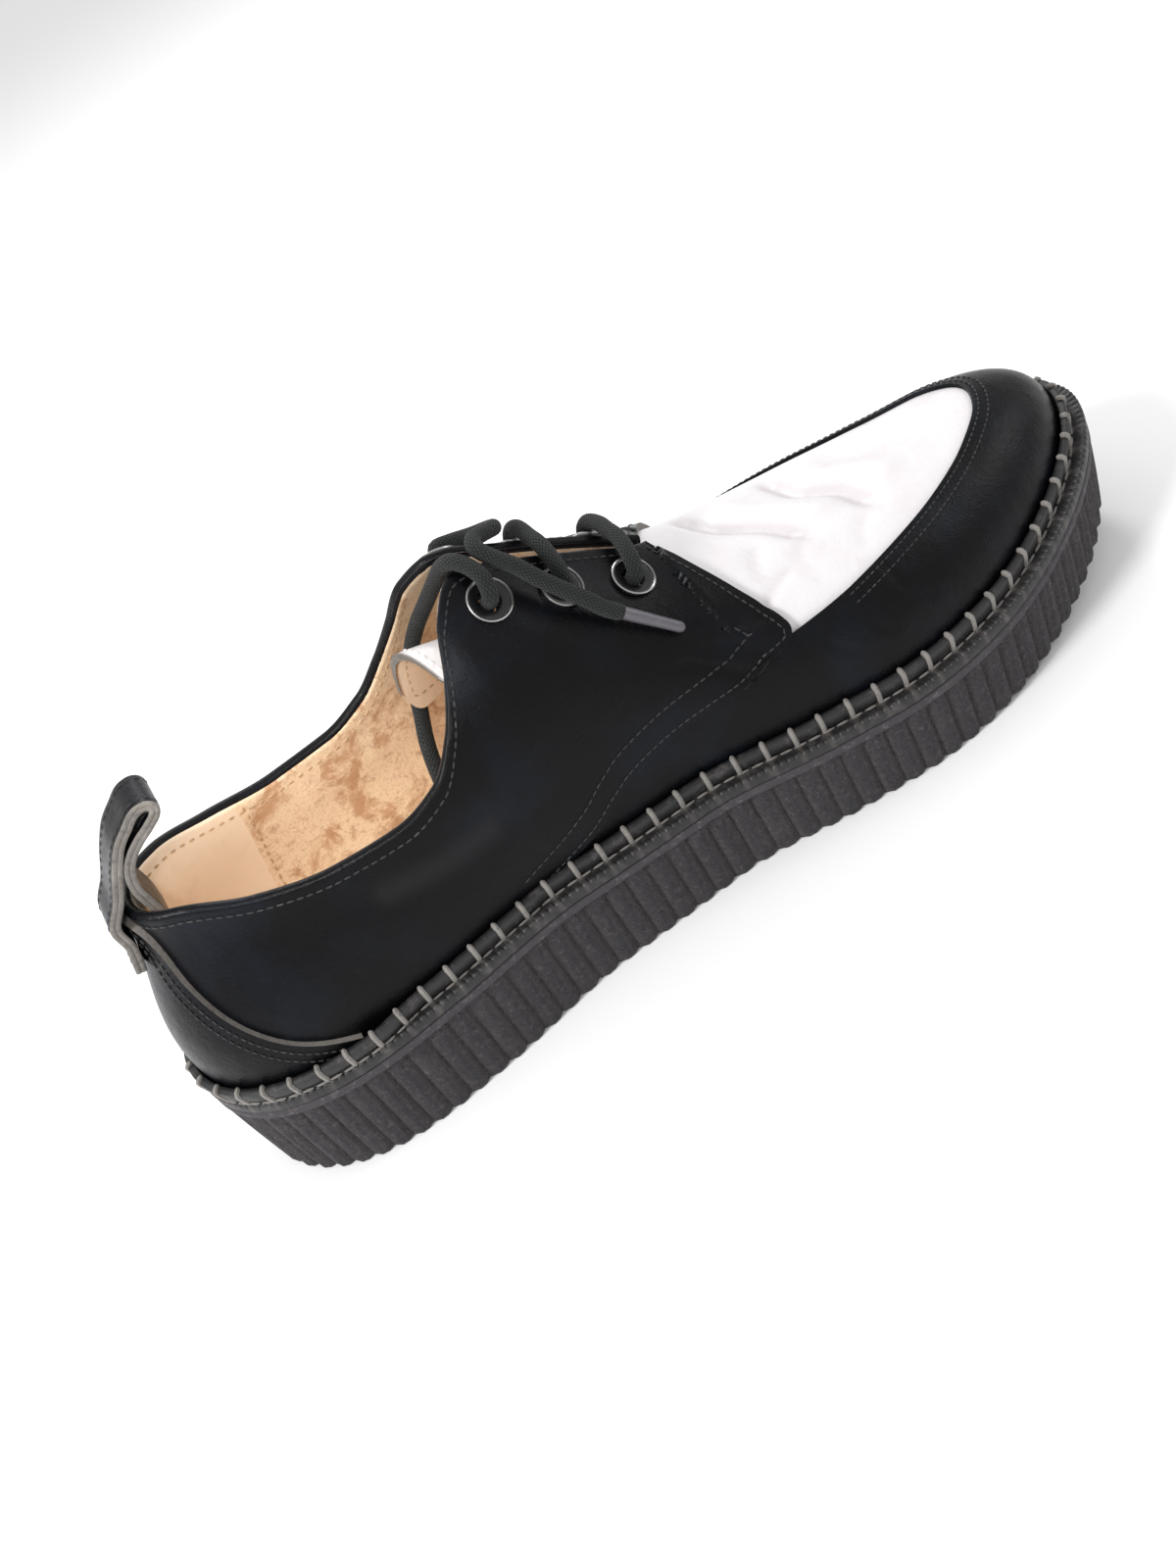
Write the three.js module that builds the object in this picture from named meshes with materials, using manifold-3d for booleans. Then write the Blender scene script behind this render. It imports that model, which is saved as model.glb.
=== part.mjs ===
// A left derby shoe on a thick ribbed platform sole, in millimetres.
// +X points to the toe, +Y to the outer (lateral) side and +Z up. The origin is on the ground, under the middle of
// the shoe's length and width. The upper is a hollow shell lofted through sections from the heel to the toe, with
// leather panels laid over it; it stands on a stitched welt and a rubber sole.
import * as THREE from 'three';
import Module from 'manifold-3d';
import { mergeVertices } from 'three/addons/utils/BufferGeometryUtils.js';

const wasm = await Module();
wasm.setup();

// Driving dimensions.
const soleLength = 300;
const ballWidth = 102;
const heelEndRadius = 33;
const toeEndRadius = 21;
const heelStack = 30;
const toeSpring = 14;
const instepHeight = 80;

const soleTaper = 2.2;
const ribPitch = 6.4;
const ribDepth = 1.5;
const plainBand = 4;
const grooveWidth = 2;
const grooveDepth = 1.4;
const treadBorder = 4.5;

const fitGap = 0.3;
const weltThickness = 3.6;
const weltBeadHeight = 5.2;
const weltBeadWidth = 2.1;
const weltUndercut = 3.4;
const heelMargin = 7;
const sideMargin = 7.6;
const toeMargin = 8.6;

const upperWall = 1.6;
const quarterThickness = 1.7;
const mudguardThickness = 1.1;
const counterThickness = 1.3;
const insoleThickness = 3;

const collarEndRadius = 13;
const eyeletCount = 3;
const eyeletSpacing = 17.5;
const eyeletFirst = 3;
const eyeletHoleRadius = 2.5;
const eyeletFlangeRadius = 4.5;
const eyeletFlangeHeight = 1;
const eyeletEdgeDistance = 11;

const tongueThickness = 2.2;
const tongueWidth = 40;
const tongueLength = 77;
const tonguePitch = 10;
const tongueFoot = 0.62;

const loopWidth = 15;
const loopThickness = 2.3;
const loopHeight = 21;
const loopLean = 22.5;
const loopTail = 18;

const laceDiameter = 4.2;
const laceHump = 0.2;
const agletLength = 16;
const agletDiameter = 3.2;

const degrees = Math.PI / 180;

// Half widths of the sole's edge from its long axis, as shares of the ball width.
const soleOutline = [
  { at: 0.10, lateral: 0.338, medial: 0.342 },
  { at: 0.22, lateral: 0.362, medial: 0.360 },
  { at: 0.36, lateral: 0.392, medial: 0.330 },
  { at: 0.48, lateral: 0.432, medial: 0.350 },
  { at: 0.60, lateral: 0.484, medial: 0.440 },
  { at: 0.70, lateral: 0.503, medial: 0.490 },
  { at: 0.80, lateral: 0.460, medial: 0.456 },
  { at: 0.90, lateral: 0.340, medial: 0.346 },
  { at: 0.96, lateral: 0.222, medial: 0.226 },
];

// Sole thickness as a share of the heel stack, and the lift of its underside as a share of the toe spring.
const soleProfile = [
  { at: 0.00, thickness: 1.00, lift: 0.00 },
  { at: 0.25, thickness: 0.98, lift: 0.00 },
  { at: 0.45, thickness: 0.89, lift: 0.00 },
  { at: 0.70, thickness: 0.79, lift: 0.00 },
  { at: 0.80, thickness: 0.76, lift: 0.10 },
  { at: 0.90, thickness: 0.74, lift: 0.46 },
  { at: 1.00, thickness: 0.73, lift: 1.00 },
];

// Sections of the upper. foot and top are shares of its length at the welt and at the topline or ridge, height is a
// share of the instep height, half is the opening's half width as a share of the ball width, lean is the wall's angle
// at the top in degrees, and rise, swell and reach are the section curve's handles as shares of its chord.
const upperSections = [
  { foot: 0.000, top: 0.039, height: 0.690, half: 0.000, lean: 98, rise: 0.40, swell: 0.09, reach: 0.30 },
  { foot: 0.050, top: 0.076, height: 0.675, half: 0.152, lean: 94, rise: 0.40, swell: 0.10, reach: 0.30 },
  { foot: 0.120, top: 0.130, height: 0.605, half: 0.218, lean: 88, rise: 0.40, swell: 0.11, reach: 0.30 },
  { foot: 0.200, top: 0.198, height: 0.542, half: 0.252, lean: 81, rise: 0.38, swell: 0.11, reach: 0.30 },
  { foot: 0.270, top: 0.258, height: 0.530, half: 0.268, lean: 78, rise: 0.36, swell: 0.10, reach: 0.32 },
  { foot: 0.325, top: 0.303, height: 0.575, half: 0.268, lean: 72, rise: 0.35, swell: 0.09, reach: 0.33 },
  { foot: 0.365, top: 0.335, height: 0.670, half: 0.242, lean: 64, rise: 0.34, swell: 0.09, reach: 0.34 },
  { foot: 0.400, top: 0.365, height: 0.800, half: 0.185, lean: 54, rise: 0.33, swell: 0.09, reach: 0.34 },
  { foot: 0.425, top: 0.391, height: 0.930, half: 0.115, lean: 44, rise: 0.33, swell: 0.08, reach: 0.34 },
  { foot: 0.450, top: 0.421, height: 0.985, half: 0.060, lean: 37, rise: 0.33, swell: 0.08, reach: 0.34 },
  { foot: 0.490, top: 0.476, height: 0.890, half: 0.044, lean: 30, rise: 0.33, swell: 0.08, reach: 0.34 },
  { foot: 0.535, top: 0.530, height: 0.772, half: 0.036, lean: 22, rise: 0.33, swell: 0.08, reach: 0.36 },
  { foot: 0.570, top: 0.572, height: 0.672, half: 0.026, lean: 12, rise: 0.34, swell: 0.08, reach: 0.38 },
  { foot: 0.590, top: 0.592, height: 0.628, half: 0.000, lean: 0, rise: 0.35, swell: 0.08, reach: 0.40 },
  { foot: 0.660, top: 0.642, height: 0.548, half: 0.000, lean: 0, rise: 0.36, swell: 0.08, reach: 0.42 },
  { foot: 0.740, top: 0.704, height: 0.490, half: 0.000, lean: 0, rise: 0.36, swell: 0.08, reach: 0.44 },
  { foot: 0.820, top: 0.770, height: 0.445, half: 0.000, lean: 0, rise: 0.36, swell: 0.08, reach: 0.45 },
  { foot: 0.900, top: 0.832, height: 0.405, half: 0.000, lean: 0, rise: 0.36, swell: 0.08, reach: 0.45 },
  { foot: 0.950, top: 0.866, height: 0.382, half: 0.000, lean: 0, rise: 0.38, swell: 0.08, reach: 0.45 },
  { foot: 1.000, top: 0.882, height: 0.368, half: 0.000, lean: 0, rise: 0.40, swell: 0.08, reach: 0.45 },
];
const throatFoot = 0.59;

// Front edge of each quarter: level is the share of the way up the section, foot the section that it crosses.
const quarterEdge = [
  { level: 0.00, foot: 0.315 },
  { level: 0.10, foot: 0.372 },
  { level: 0.20, foot: 0.450 },
  { level: 0.28, foot: 0.526 },
  { level: 0.34, foot: 0.592 },
  { level: 0.38, foot: 0.626 },
  { level: 0.45, foot: 0.637 },
  { level: 0.65, foot: 0.624 },
  { level: 0.82, foot: 0.604 },
  { level: 1.00, foot: 0.580 },
];
const panelFoot = 0.03;

// Levels of a panel's rows from its foot up; one that stands for the room round a panel has a row below it as well.
function panelLevels(rows, top, clearance) {
  const levels = range(rows + 1, (j) => mix(panelFoot, top, j / rows));
  return clearance > 0 ? [panelFoot / 2, ...levels] : levels;
}

// Inner edge of the mudguard, where the white vamp begins, by section.
const mudguardEdge = [
  { foot: 0.620, level: 0.39 },
  { foot: 0.760, level: 0.51 },
  { foot: 0.880, level: 0.60 },
  { foot: 0.950, level: 0.68 },
  { foot: 1.000, level: 0.74 },
];

// Upper edge of the heel counter: how high it reaches at an angle round the heel, in degrees.
const counterEdge = [
  { angle: 0, level: 0.97 },
  { angle: 9, level: 0.92 },
  { angle: 19, level: 0.60 },
  { angle: 27, level: 0.39 },
  { angle: 35, level: 0.22 },
  { angle: 44, level: 0.08 },
];
const counterReach = 44;

// The largest body of a solid that a cut may have left crumbs of.
const largest = (solid) => solid.decompose().reduce((best, body) => (body.volume() > best.volume() ? body : best));

const range = (count, make) => Array.from({ length: count }, (_, i) => make(i));
const mix = THREE.MathUtils.lerp;

// A smooth curve through a table's rows that never overshoots them.
function through(rows, by, key) {
  const x = rows.map((row) => row[by]);
  const y = rows.map((row) => row[key]);
  const slopes = x.slice(1).map((value, i) => (y[i + 1] - y[i]) / (value - x[i]));
  const tangents = x.map((_, i) => {
    if (i === 0) return slopes[0];
    if (i === x.length - 1) return slopes[i - 1];
    const before = slopes[i - 1];
    const after = slopes[i];
    return before * after <= 0 ? 0 : 2 * before * after / (before + after);
  });
  return (at) => {
    const value = Math.min(Math.max(at, x[0]), x[x.length - 1]);
    let i = 0;
    while (i < x.length - 2 && value > x[i + 1]) i += 1;
    const span = x[i + 1] - x[i];
    const t = (value - x[i]) / span;
    const cubic = t * t * (3 - 2 * t);
    return y[i] * (1 - cubic) + y[i + 1] * cubic
      + span * t * (1 - t) * (tangents[i] * (1 - t) - tangents[i + 1] * t);
  };
}

// The angle round a closed outline whose share of the length is the one given: 0 at the heel and pi at the toe.
const angleAt = (share) => Math.acos(1 - 2 * share);
const shareAt = (angle) => (1 - Math.cos(angle)) / 2;

// Half width by share of the length for an outline with round ends: the table's widths over the sine of the angle
// stay finite at the ends, where they follow from the end radii.
function roundedHalfWidth(rows, by, key, unit, length, heelRadius, toeRadius) {
  const swell = rows.map((row) => ({ at: row[by], k: row[key] * unit / Math.sin(angleAt(row[by])) }));
  const ends = [{ at: 0, k: Math.sqrt(heelRadius * length / 2) }, { at: 1, k: Math.sqrt(toeRadius * length / 2) }];
  const k = through([ends[0], ...swell, ends[1]], 'at', 'k');
  return (share) => k(share) * Math.sin(angleAt(share));
}

const halfWidths = {
  lateral: roundedHalfWidth(soleOutline, 'at', 'lateral', ballWidth, soleLength, heelEndRadius, toeEndRadius),
  medial: roundedHalfWidth(soleOutline, 'at', 'medial', ballWidth, soleLength, heelEndRadius, toeEndRadius),
};

// The long axis lies where the sole is as wide on one side of the origin as on the other.
const widest = (side) => Math.max(...Array.from({ length: 401 }, (_, i) => halfWidths[side](i / 400)));
const axisY = (widest('medial') - widest('lateral')) / 2;

// A point of the sole's edge by its signed angle: positive on the lateral side, 0 at the heel and pi at the toe.
function soleEdge(angle) {
  const turn = Math.atan2(Math.sin(angle), Math.cos(angle));
  const share = shareAt(turn);
  const half = turn < 0 ? -halfWidths.medial(share) : halfWidths.lateral(share);
  return new THREE.Vector2(soleLength * (share - 0.5), axisY + half);
}

function outwardAt(angle) {
  const step = 1e-3;
  const along = soleEdge(angle + step).sub(soleEdge(angle - step)).normalize();
  return new THREE.Vector2(-along.y, along.x);
}

function insetEdge(angle, inset) {
  return soleEdge(angle).addScaledVector(outwardAt(angle), -inset);
}

const thicknessAt = through(soleProfile, 'at', 'thickness');
const liftAt = through(soleProfile, 'at', 'lift');
const shareOfX = (x) => Math.min(Math.max(x / soleLength + 0.5, 0), 1);
const groundAt = (x) => toeSpring * liftAt(shareOfX(x));
const soleTopAt = (x) => groundAt(x) + heelStack * thicknessAt(shareOfX(x));
const weltTopAt = (x) => soleTopAt(x) + fitGap + weltThickness;
const upperFootAt = (x) => weltTopAt(x) + fitGap;

// Depth of the welt that shows round the upper.
const marginAt = through([
  { at: 0, margin: heelMargin },
  { at: 0.25, margin: sideMargin },
  { at: 0.75, margin: sideMargin },
  { at: 1, margin: toeMargin },
], 'at', 'margin');

const section = Object.fromEntries(['top', 'height', 'lean', 'rise', 'swell', 'reach']
  .map((key) => [key, through(upperSections, 'foot', key)]));
const upperLength = soleLength - heelMargin - toeMargin;
const upperX = (share) => heelMargin - soleLength / 2 + upperLength * share;
const openingHalf = roundedHalfWidth(
  upperSections.slice(1, -1), 'foot', 'half', ballWidth, upperLength, collarEndRadius, 0);

// Top of the section at an angle: the topline beside the opening, or the vamp's ridge in front of it.
function sectionTop(angle) {
  const turn = Math.atan2(Math.sin(angle), Math.cos(angle));
  const share = shareAt(turn);
  const x = upperX(section.top(share));
  const half = share < throatFoot ? Math.sign(turn) * openingHalf(share) : 0;
  return new THREE.Vector3(x, axisY + half, upperFootAt(x) + instepHeight * section.height(share));
}

function ridgeSlope(share) {
  const step = 2e-3;
  const low = sectionTop(angleAt(Math.max(share - step, 0)));
  const high = sectionTop(angleAt(Math.min(share + step, 1)));
  return (high.z - low.z) / (high.x - low.x);
}

// A point of the upper's outer face: angle round the shoe, and level from 0 at the welt to 1 at the top.
function upperPoint(angle, level) {
  const share = shareAt(angle);
  const out = outwardAt(angle);
  const edge = insetEdge(angle, marginAt(share));
  const foot = new THREE.Vector3(edge.x, edge.y, upperFootAt(edge.x));
  const top = sectionTop(angle);
  const chord = foot.distanceTo(top);
  const lean = section.lean(share) * degrees;
  const flat = share < throatFoot ? 0 : ridgeSlope(share) * out.x;
  const low = foot.clone().add(new THREE.Vector3(out.x * section.swell(share), out.y * section.swell(share),
    section.rise(share)).multiplyScalar(chord));
  const high = top.clone().add(new THREE.Vector3(out.x * Math.cos(lean), out.y * Math.cos(lean),
    flat - Math.sin(lean)).multiplyScalar(chord * section.reach(share)));
  return new THREE.CubicBezierCurve3(foot, low, high, top).getPoint(level);
}

function upperNormal(angle, level) {
  const share = shareAt(angle);
  if (level > 0.9999 && share >= throatFoot - 1e-9) {
    return new THREE.Vector3(-ridgeSlope(share), 0, 1).normalize();
  }
  const step = 1e-3;
  const round = upperPoint(angle + step, level).sub(upperPoint(angle - step, level));
  const upper = Math.min(level + step, 1);
  const lower = Math.max(level - step, 0);
  const up = upperPoint(angle, upper).sub(upperPoint(angle, lower));
  return up.cross(round).normalize();
}

function upperOffset(angle, level, offset) {
  return upperPoint(angle, level).addScaledVector(upperNormal(angle, level), offset);
}

// Turns points and triangles into a closed geometry whose faces point out.
function closedGeometry(points, triangles) {
  const geometry = new THREE.BufferGeometry();
  geometry.setAttribute('position', new THREE.Float32BufferAttribute(points.flatMap((p) => [p.x, p.y, p.z]), 3));
  geometry.setIndex(triangles.flat());
  const merged = mergeVertices(geometry, 1e-4);
  const index = merged.index.array;
  const position = merged.attributes.position;
  const corner = (i) => new THREE.Vector3().fromBufferAttribute(position, index[i]);
  const kept = [];
  let volume = 0;
  for (let i = 0; i < index.length; i += 3) {
    if (index[i] !== index[i + 1] && index[i + 1] !== index[i + 2] && index[i] !== index[i + 2]) {
      volume += corner(i).dot(corner(i + 1).cross(corner(i + 2)));
      kept.push([index[i], index[i + 1], index[i + 2]]);
    }
  }
  merged.setIndex((volume < 0 ? kept.map(([a, b, c]) => [a, c, b]) : kept).flat());
  return merged;
}

// A thin solid between two grids of points, [column][row]. A ring joins its last column to its first. The top edge
// is open only in columns where hasRim says so: elsewhere the two sides of the grid already meet there.
function shell(outer, inner, ring = false, hasRim = () => true) {
  const columns = outer.length;
  const rows = outer[0].length;
  const points = [...outer.flat(), ...inner.flat()];
  const half = columns * rows;
  const id = (column, row) => (column % columns) * rows + row;
  const triangles = [];
  const quad = (a, b, c, d, flip) => triangles.push(...(flip ? [[a, b, d], [b, c, d]] : [[a, b, c], [a, c, d]]));
  const last = ring ? columns : columns - 1;
  for (let i = 0; i < last; i += 1) {
    const flip = ring && i < columns / 2;
    for (let j = 0; j < rows - 1; j += 1) {
      const [a, b, c, d] = [id(i, j), id(i, j + 1), id(i + 1, j + 1), id(i + 1, j)];
      quad(a, b, c, d, flip);
      quad(d + half, c + half, b + half, a + half, flip);
    }
    quad(id(i, 0), id(i + 1, 0), id(i + 1, 0) + half, id(i, 0) + half, false);
    if (hasRim(i)) {
      const [a, b] = [id(i, rows - 1), id(i + 1, rows - 1)];
      quad(a, a + half, b + half, b, false);
    }
  }
  if (!ring) {
    for (let j = 0; j < rows - 1; j += 1) {
      const [a, b, c, d] = [id(0, j), id(0, j + 1), id(columns - 1, j), id(columns - 1, j + 1)];
      quad(a, a + half, b + half, b, false);
      quad(c, d, d + half, c + half, false);
    }
  }
  return closedGeometry(points, triangles);
}

// A solid through closed rings of points, from the lowest to the highest, with each end closed by a strip that runs
// between the two sides of the ring. Every ring starts at the heel and goes round by the lateral side.
function stack(rings) {
  const count = rings[0].length;
  const points = rings.flat();
  const triangles = [];
  for (let r = 0; r < rings.length - 1; r += 1) {
    for (let i = 0; i < count; i += 1) {
      const next = (i + 1) % count;
      const [a, b] = [r * count + i, r * count + next];
      triangles.push([a, a + count, b + count], [a, b + count, b]);
    }
  }
  const close = (ring, base, flip) => {
    let [left, right] = [0, count];
    const toe = ring.reduce((best, p, i) => (p.x > ring[best].x ? i : best), 0);
    while (left < toe || right > toe) {
      const goLeft = right === toe || (left < toe && ring[left + 1].x < ring[right - 1].x);
      const [a, b] = [base + left, base + (right % count)];
      const c = base + (goLeft ? left + 1 : right - 1);
      triangles.push(flip ? [a, b, c] : [a, c, b]);
      if (goLeft) left += 1;
      else right -= 1;
    }
  };
  close(rings[0], 0, false);
  close(rings[rings.length - 1], (rings.length - 1) * count, true);
  return closedGeometry(points, triangles);
}

function toManifold(geometry) {
  const bare = geometry.clone();
  for (const name of Object.keys(bare.attributes)) if (name !== 'position') bare.deleteAttribute(name);
  const merged = mergeVertices(bare, 1e-4);
  return new wasm.Manifold(new wasm.Mesh({
    numProp: 3,
    vertProperties: new Float32Array(merged.attributes.position.array),
    triVerts: new Uint32Array(merged.index.array),
  }));
}

function toGeometry(manifold) {
  const mesh = manifold.getMesh();
  const geometry = new THREE.BufferGeometry();
  geometry.setAttribute('position', new THREE.BufferAttribute(new Float32Array(mesh.vertProperties), 3));
  geometry.setIndex([...mesh.triVerts]);
  return geometry;
}

// Angles of the upper's columns from the heel to the toe: each section of the table, and more where they lie apart.
const columnStep = 11.5 * degrees;
const columnAngles = (() => {
  const angles = upperSections.map((row) => angleAt(row.foot));
  const between = angles.slice(0, -1).flatMap((angle, i) => {
    const parts = Math.ceil((angles[i + 1] - angle) / columnStep);
    return range(parts, (k) => mix(angle, angles[i + 1], k / parts));
  });
  return [...between, Math.PI];
})();

// The same angles round the whole shoe: lateral side to the toe, then back by the medial side.
const roundAngles = [...columnAngles, ...columnAngles.slice(1, -1).reverse().map((angle) => -angle)];

// The hole of each eyelet: a point near the facing's edge, and the way that the wall faces there.
function eyeletSeats() {
  const seats = [];
  for (const side of [1, -1]) {
    for (let i = 0; i < eyeletCount; i += 1) {
      const x = upperX(section.top(0.450)) + eyeletFirst + eyeletSpacing * i;
      let foot = 0.44;
      while (foot < throatFoot && sectionTop(angleAt(foot)).x < x) foot += 0.001;
      const angle = side * angleAt(foot);
      const top = upperPoint(angle, 1);
      let level = 1;
      while (upperPoint(angle, level).distanceTo(top) < eyeletEdgeDistance) level -= 0.002;
      seats.push({ centre: upperPoint(angle, level), out: upperNormal(angle, level), angle, level, side, place: i + 1 });
    }
  }
  return seats;
}

function pinAlong(seat, radius, from, to, sides) {
  const geometry = new THREE.CylinderGeometry(radius, radius, to - from, sides);
  geometry.translate(0, (from + to) / 2, 0);
  geometry.applyQuaternion(new THREE.Quaternion().setFromUnitVectors(new THREE.Vector3(0, 1, 0), seat.out));
  geometry.translate(seat.centre.x, seat.centre.y, seat.centre.z);
  return geometry;
}

const seats = eyeletSeats();

function withEyeletHoles(solid, side) {
  let result = solid;
  for (const seat of seats.filter((s) => side === 0 || s.side === side)) {
    result = result.subtract(toManifold(pinAlong(seat, eyeletHoleRadius + fitGap, -6, 6, 10)));
  }
  return toGeometry(result);
}

const upperLevels = range(8, (j) => j / 7);

// The upper's wall between two offsets from its outer face, open along the topline and underneath.
function upperForm(outside, inside) {
  const grid = (offset) => roundAngles.map((angle) => upperLevels.map((level) => upperOffset(angle, level, offset)));
  const isOpen = (i) => {
    const next = (i + 1) % roundAngles.length;
    return Math.min(shareAt(roundAngles[i]), shareAt(roundAngles[next])) < throatFoot - 1e-6;
  };
  return toManifold(shell(grid(outside), grid(inside), true, isOpen));
}

const makeUpper = () => withEyeletHoles(upperForm(0, -upperWall), 0);

const edgeFoot = through(quarterEdge, 'level', 'foot');

// A quarter's outer face set off by the clearance, filled down into the upper's wall.
function quarterForm(side, clearance) {
  const levels = panelLevels(7, 0.985, clearance);
  const columns = columnAngles.filter((angle) => angle <= angleAt(edgeFoot(1)) + 1e-6);
  const last = columns[columns.length - 1];
  const room = 1.6 * clearance / instepHeight;
  const ahead = 2 * (clearance - fitGap / 2) / soleLength;
  const grid = (offset) => columns.map((column) => levels.map((level) => {
    const front = angleAt(Math.max(edgeFoot(level - room), edgeFoot(level + room))) + ahead;
    return upperOffset(side * mix(fitGap / heelEndRadius / 2 - ahead, front, column / last), level, offset);
  }));
  return toManifold(shell(grid(fitGap + quarterThickness + clearance), grid(-upperWall / 2)));
}

const makeQuarter = (side) => withEyeletHoles(largest(quarterForm(side, 0).subtract(upperForm(fitGap, -upperWall))), side);

const mudguardLevel = through(mudguardEdge, 'foot', 'level');

function mudguardForm(clearance) {
  const columns = 40;
  const rows = 4;
  const start = angleAt(edgeFoot(0) - 0.02);
  const grid = (offset) => range(columns + 1, (i) => {
    const angle = mix(start, 2 * Math.PI - start, i / columns);
    return panelLevels(rows, mudguardLevel(shareAt(angle)), clearance)
      .map((level) => upperOffset(angle, level, offset));
  });
  return toManifold(shell(grid(fitGap + mudguardThickness + clearance), grid(-upperWall / 2)));
}

function makeMudguard() {
  return toGeometry(largest([upperForm(fitGap, -upperWall), quarterForm(1, 1.5 * fitGap), quarterForm(-1, 1.5 * fitGap)]
    .reduce((solid, form) => solid.subtract(form), mudguardForm(0))));
}

const counterLevel = through(counterEdge, 'angle', 'level');
const counterBase = fitGap + quarterThickness + 1.5 * fitGap;

function counterForm(inside, clearance) {
  const columns = 16;
  const rows = 5;
  const grid = (offset) => range(columns + 1, (i) => {
    const turn = mix(-counterReach, counterReach, i / columns);
    return panelLevels(rows, counterLevel(Math.abs(turn)), clearance)
      .map((level) => upperOffset(turn * degrees, level, offset));
  });
  return toManifold(shell(grid(counterBase + counterThickness + clearance), grid(inside)));
}

const makeCounter = () => toGeometry(counterForm(counterBase, 0));

// Depth of what lies over the upper at the welt: the quarters and the heel counter behind the quarters' front edge,
// and the mudguard before it.
function panelsOver(angle) {
  const share = shareAt(angle);
  const turn = Math.acos(1 - 2 * share) / degrees;
  const front = THREE.MathUtils.smoothstep(share, edgeFoot(0) - 0.01, edgeFoot(0) + 0.02);
  const counter = 1 - THREE.MathUtils.smoothstep(turn, counterReach + 1, counterReach + 9);
  return fitGap + mix(quarterThickness, mudguardThickness, front) + counter * (1.5 * fitGap + counterThickness);
}

function makeWelt() {
  const rings = roundAngles.map((angle) => {
    const out = outwardAt(angle);
    const edge = soleEdge(angle);
    const margin = marginAt(shareAt(angle));
    const at = (inset, height) => {
      const p = edge.clone().addScaledVector(out, -inset);
      return new THREE.Vector3(p.x, p.y, soleTopAt(p.x) + fitGap + height);
    };
    const wall = margin - panelsOver(angle) - fitGap;
    const lean = weltBeadHeight * section.swell(shareAt(angle)) / section.rise(shareAt(angle));
    return [
      at(margin + weltUndercut, 0),
      at(0.4, 0),
      at(0, weltThickness * 0.5),
      at(0.6, weltThickness),
      at(wall - weltBeadWidth - 0.4, weltThickness),
      at(wall - weltBeadWidth - lean, weltThickness + weltBeadHeight),
      at(wall - lean - 0.3, weltThickness + weltBeadHeight),
      at(wall, weltThickness),
      at(margin + weltUndercut, weltThickness),
    ];
  });
  const points = rings.flat();
  const count = rings[0].length;
  const triangles = [];
  for (let i = 0; i < rings.length; i += 1) {
    for (let k = 0; k < count; k += 1) {
      const [a, b] = [i * count + k, i * count + (k + 1) % count];
      const [c, d] = [((i + 1) % rings.length) * count + k, ((i + 1) % rings.length) * count + (k + 1) % count];
      triangles.push([a, b, d], [a, d, c]);
    }
  }
  const band = toManifold(closedGeometry(points, triangles));
  return toGeometry(largest([quarterForm(1, fitGap), quarterForm(-1, fitGap), counterForm(0, fitGap), mudguardForm(fitGap)]
    .reduce((solid, form) => solid.subtract(form), band)));
}

// Angles at equal steps along the sole's edge, so that the ribs of its side have one pitch.
function evenAngles(count) {
  const fine = 2000;
  const lengths = [0];
  for (let i = 1; i <= fine; i += 1) {
    const step = soleEdge(2 * Math.PI * i / fine).distanceTo(soleEdge(2 * Math.PI * (i - 1) / fine));
    lengths.push(lengths[i - 1] + step);
  }
  const perimeter = lengths[fine];
  let i = 0;
  return { perimeter, angles: range(count, (k) => {
    const target = perimeter * k / count;
    while (lengths[i + 1] < target) i += 1;
    return 2 * Math.PI * (i + (target - lengths[i]) / (lengths[i + 1] - lengths[i])) / fine;
  }) };
}

function makeOutsole() {
  const ribs = Math.round(evenAngles(1).perimeter / ribPitch);
  const { angles } = evenAngles(2 * ribs);
  const ring = (inset, heightOf, ribbed) => angles.map((angle, i) => {
    const p = insetEdge(angle, inset + (ribbed && i % 2 ? ribDepth : 0));
    return new THREE.Vector3(p.x, p.y, heightOf(p.x));
  });
  const body = stack([
    ring(soleTaper + 1, groundAt, false),
    ring(soleTaper, (x) => groundAt(x) + 1, false),
    ring(soleTaper * 0.8, (x) => groundAt(x) + plainBand, true),
    ring(0.5, (x) => soleTopAt(x) - 1.5, true),
    ring(0.8, soleTopAt, false),
  ]);
  return toGeometry(toManifold(body).subtract(treadGrooves()));
}

// Straight grooves across the underside, one per rib, that stop short of its edge.
function treadGrooves() {
  const count = Math.floor((soleLength - 3 * ribPitch) / ribPitch);
  const first = -(count - 1) * ribPitch / 2;
  let cuts = null;
  for (let k = 0; k < count; k += 1) {
    const x = first + k * ribPitch;
    const share = x / soleLength + 0.5;
    const border = soleTaper + treadBorder;
    const high = halfWidths.lateral(share) - border;
    const low = halfWidths.medial(share) - border;
    const tilt = Math.atan2(groundAt(x + 1) - groundAt(x - 1), 2);
    const slot = new THREE.BoxGeometry(grooveWidth, high + low, 2 * grooveDepth);
    slot.rotateY(-tilt);
    slot.translate(x, axisY + (high - low) / 2, groundAt(x));
    const solid = toManifold(slot);
    cuts = cuts ? cuts.add(solid) : solid;
  }
  return cuts;
}

function makeInsole() {
  const ring = (inset, heightOf) => roundAngles.map((angle) => {
    const p = insetEdge(angle, marginAt(shareAt(angle)) + inset);
    return new THREE.Vector3(p.x, p.y, heightOf(p.x));
  });
  const lowInset = weltUndercut + fitGap;
  const highInset = upperWall + 2 * fitGap;
  return stack([
    ring(lowInset, (x) => soleTopAt(x) + fitGap),
    ring(lowInset, (x) => weltTopAt(x) + fitGap),
    ring(highInset, (x) => weltTopAt(x) + fitGap),
    ring(highInset, (x) => weltTopAt(x) + fitGap + insoleThickness),
  ]);
}

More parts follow.
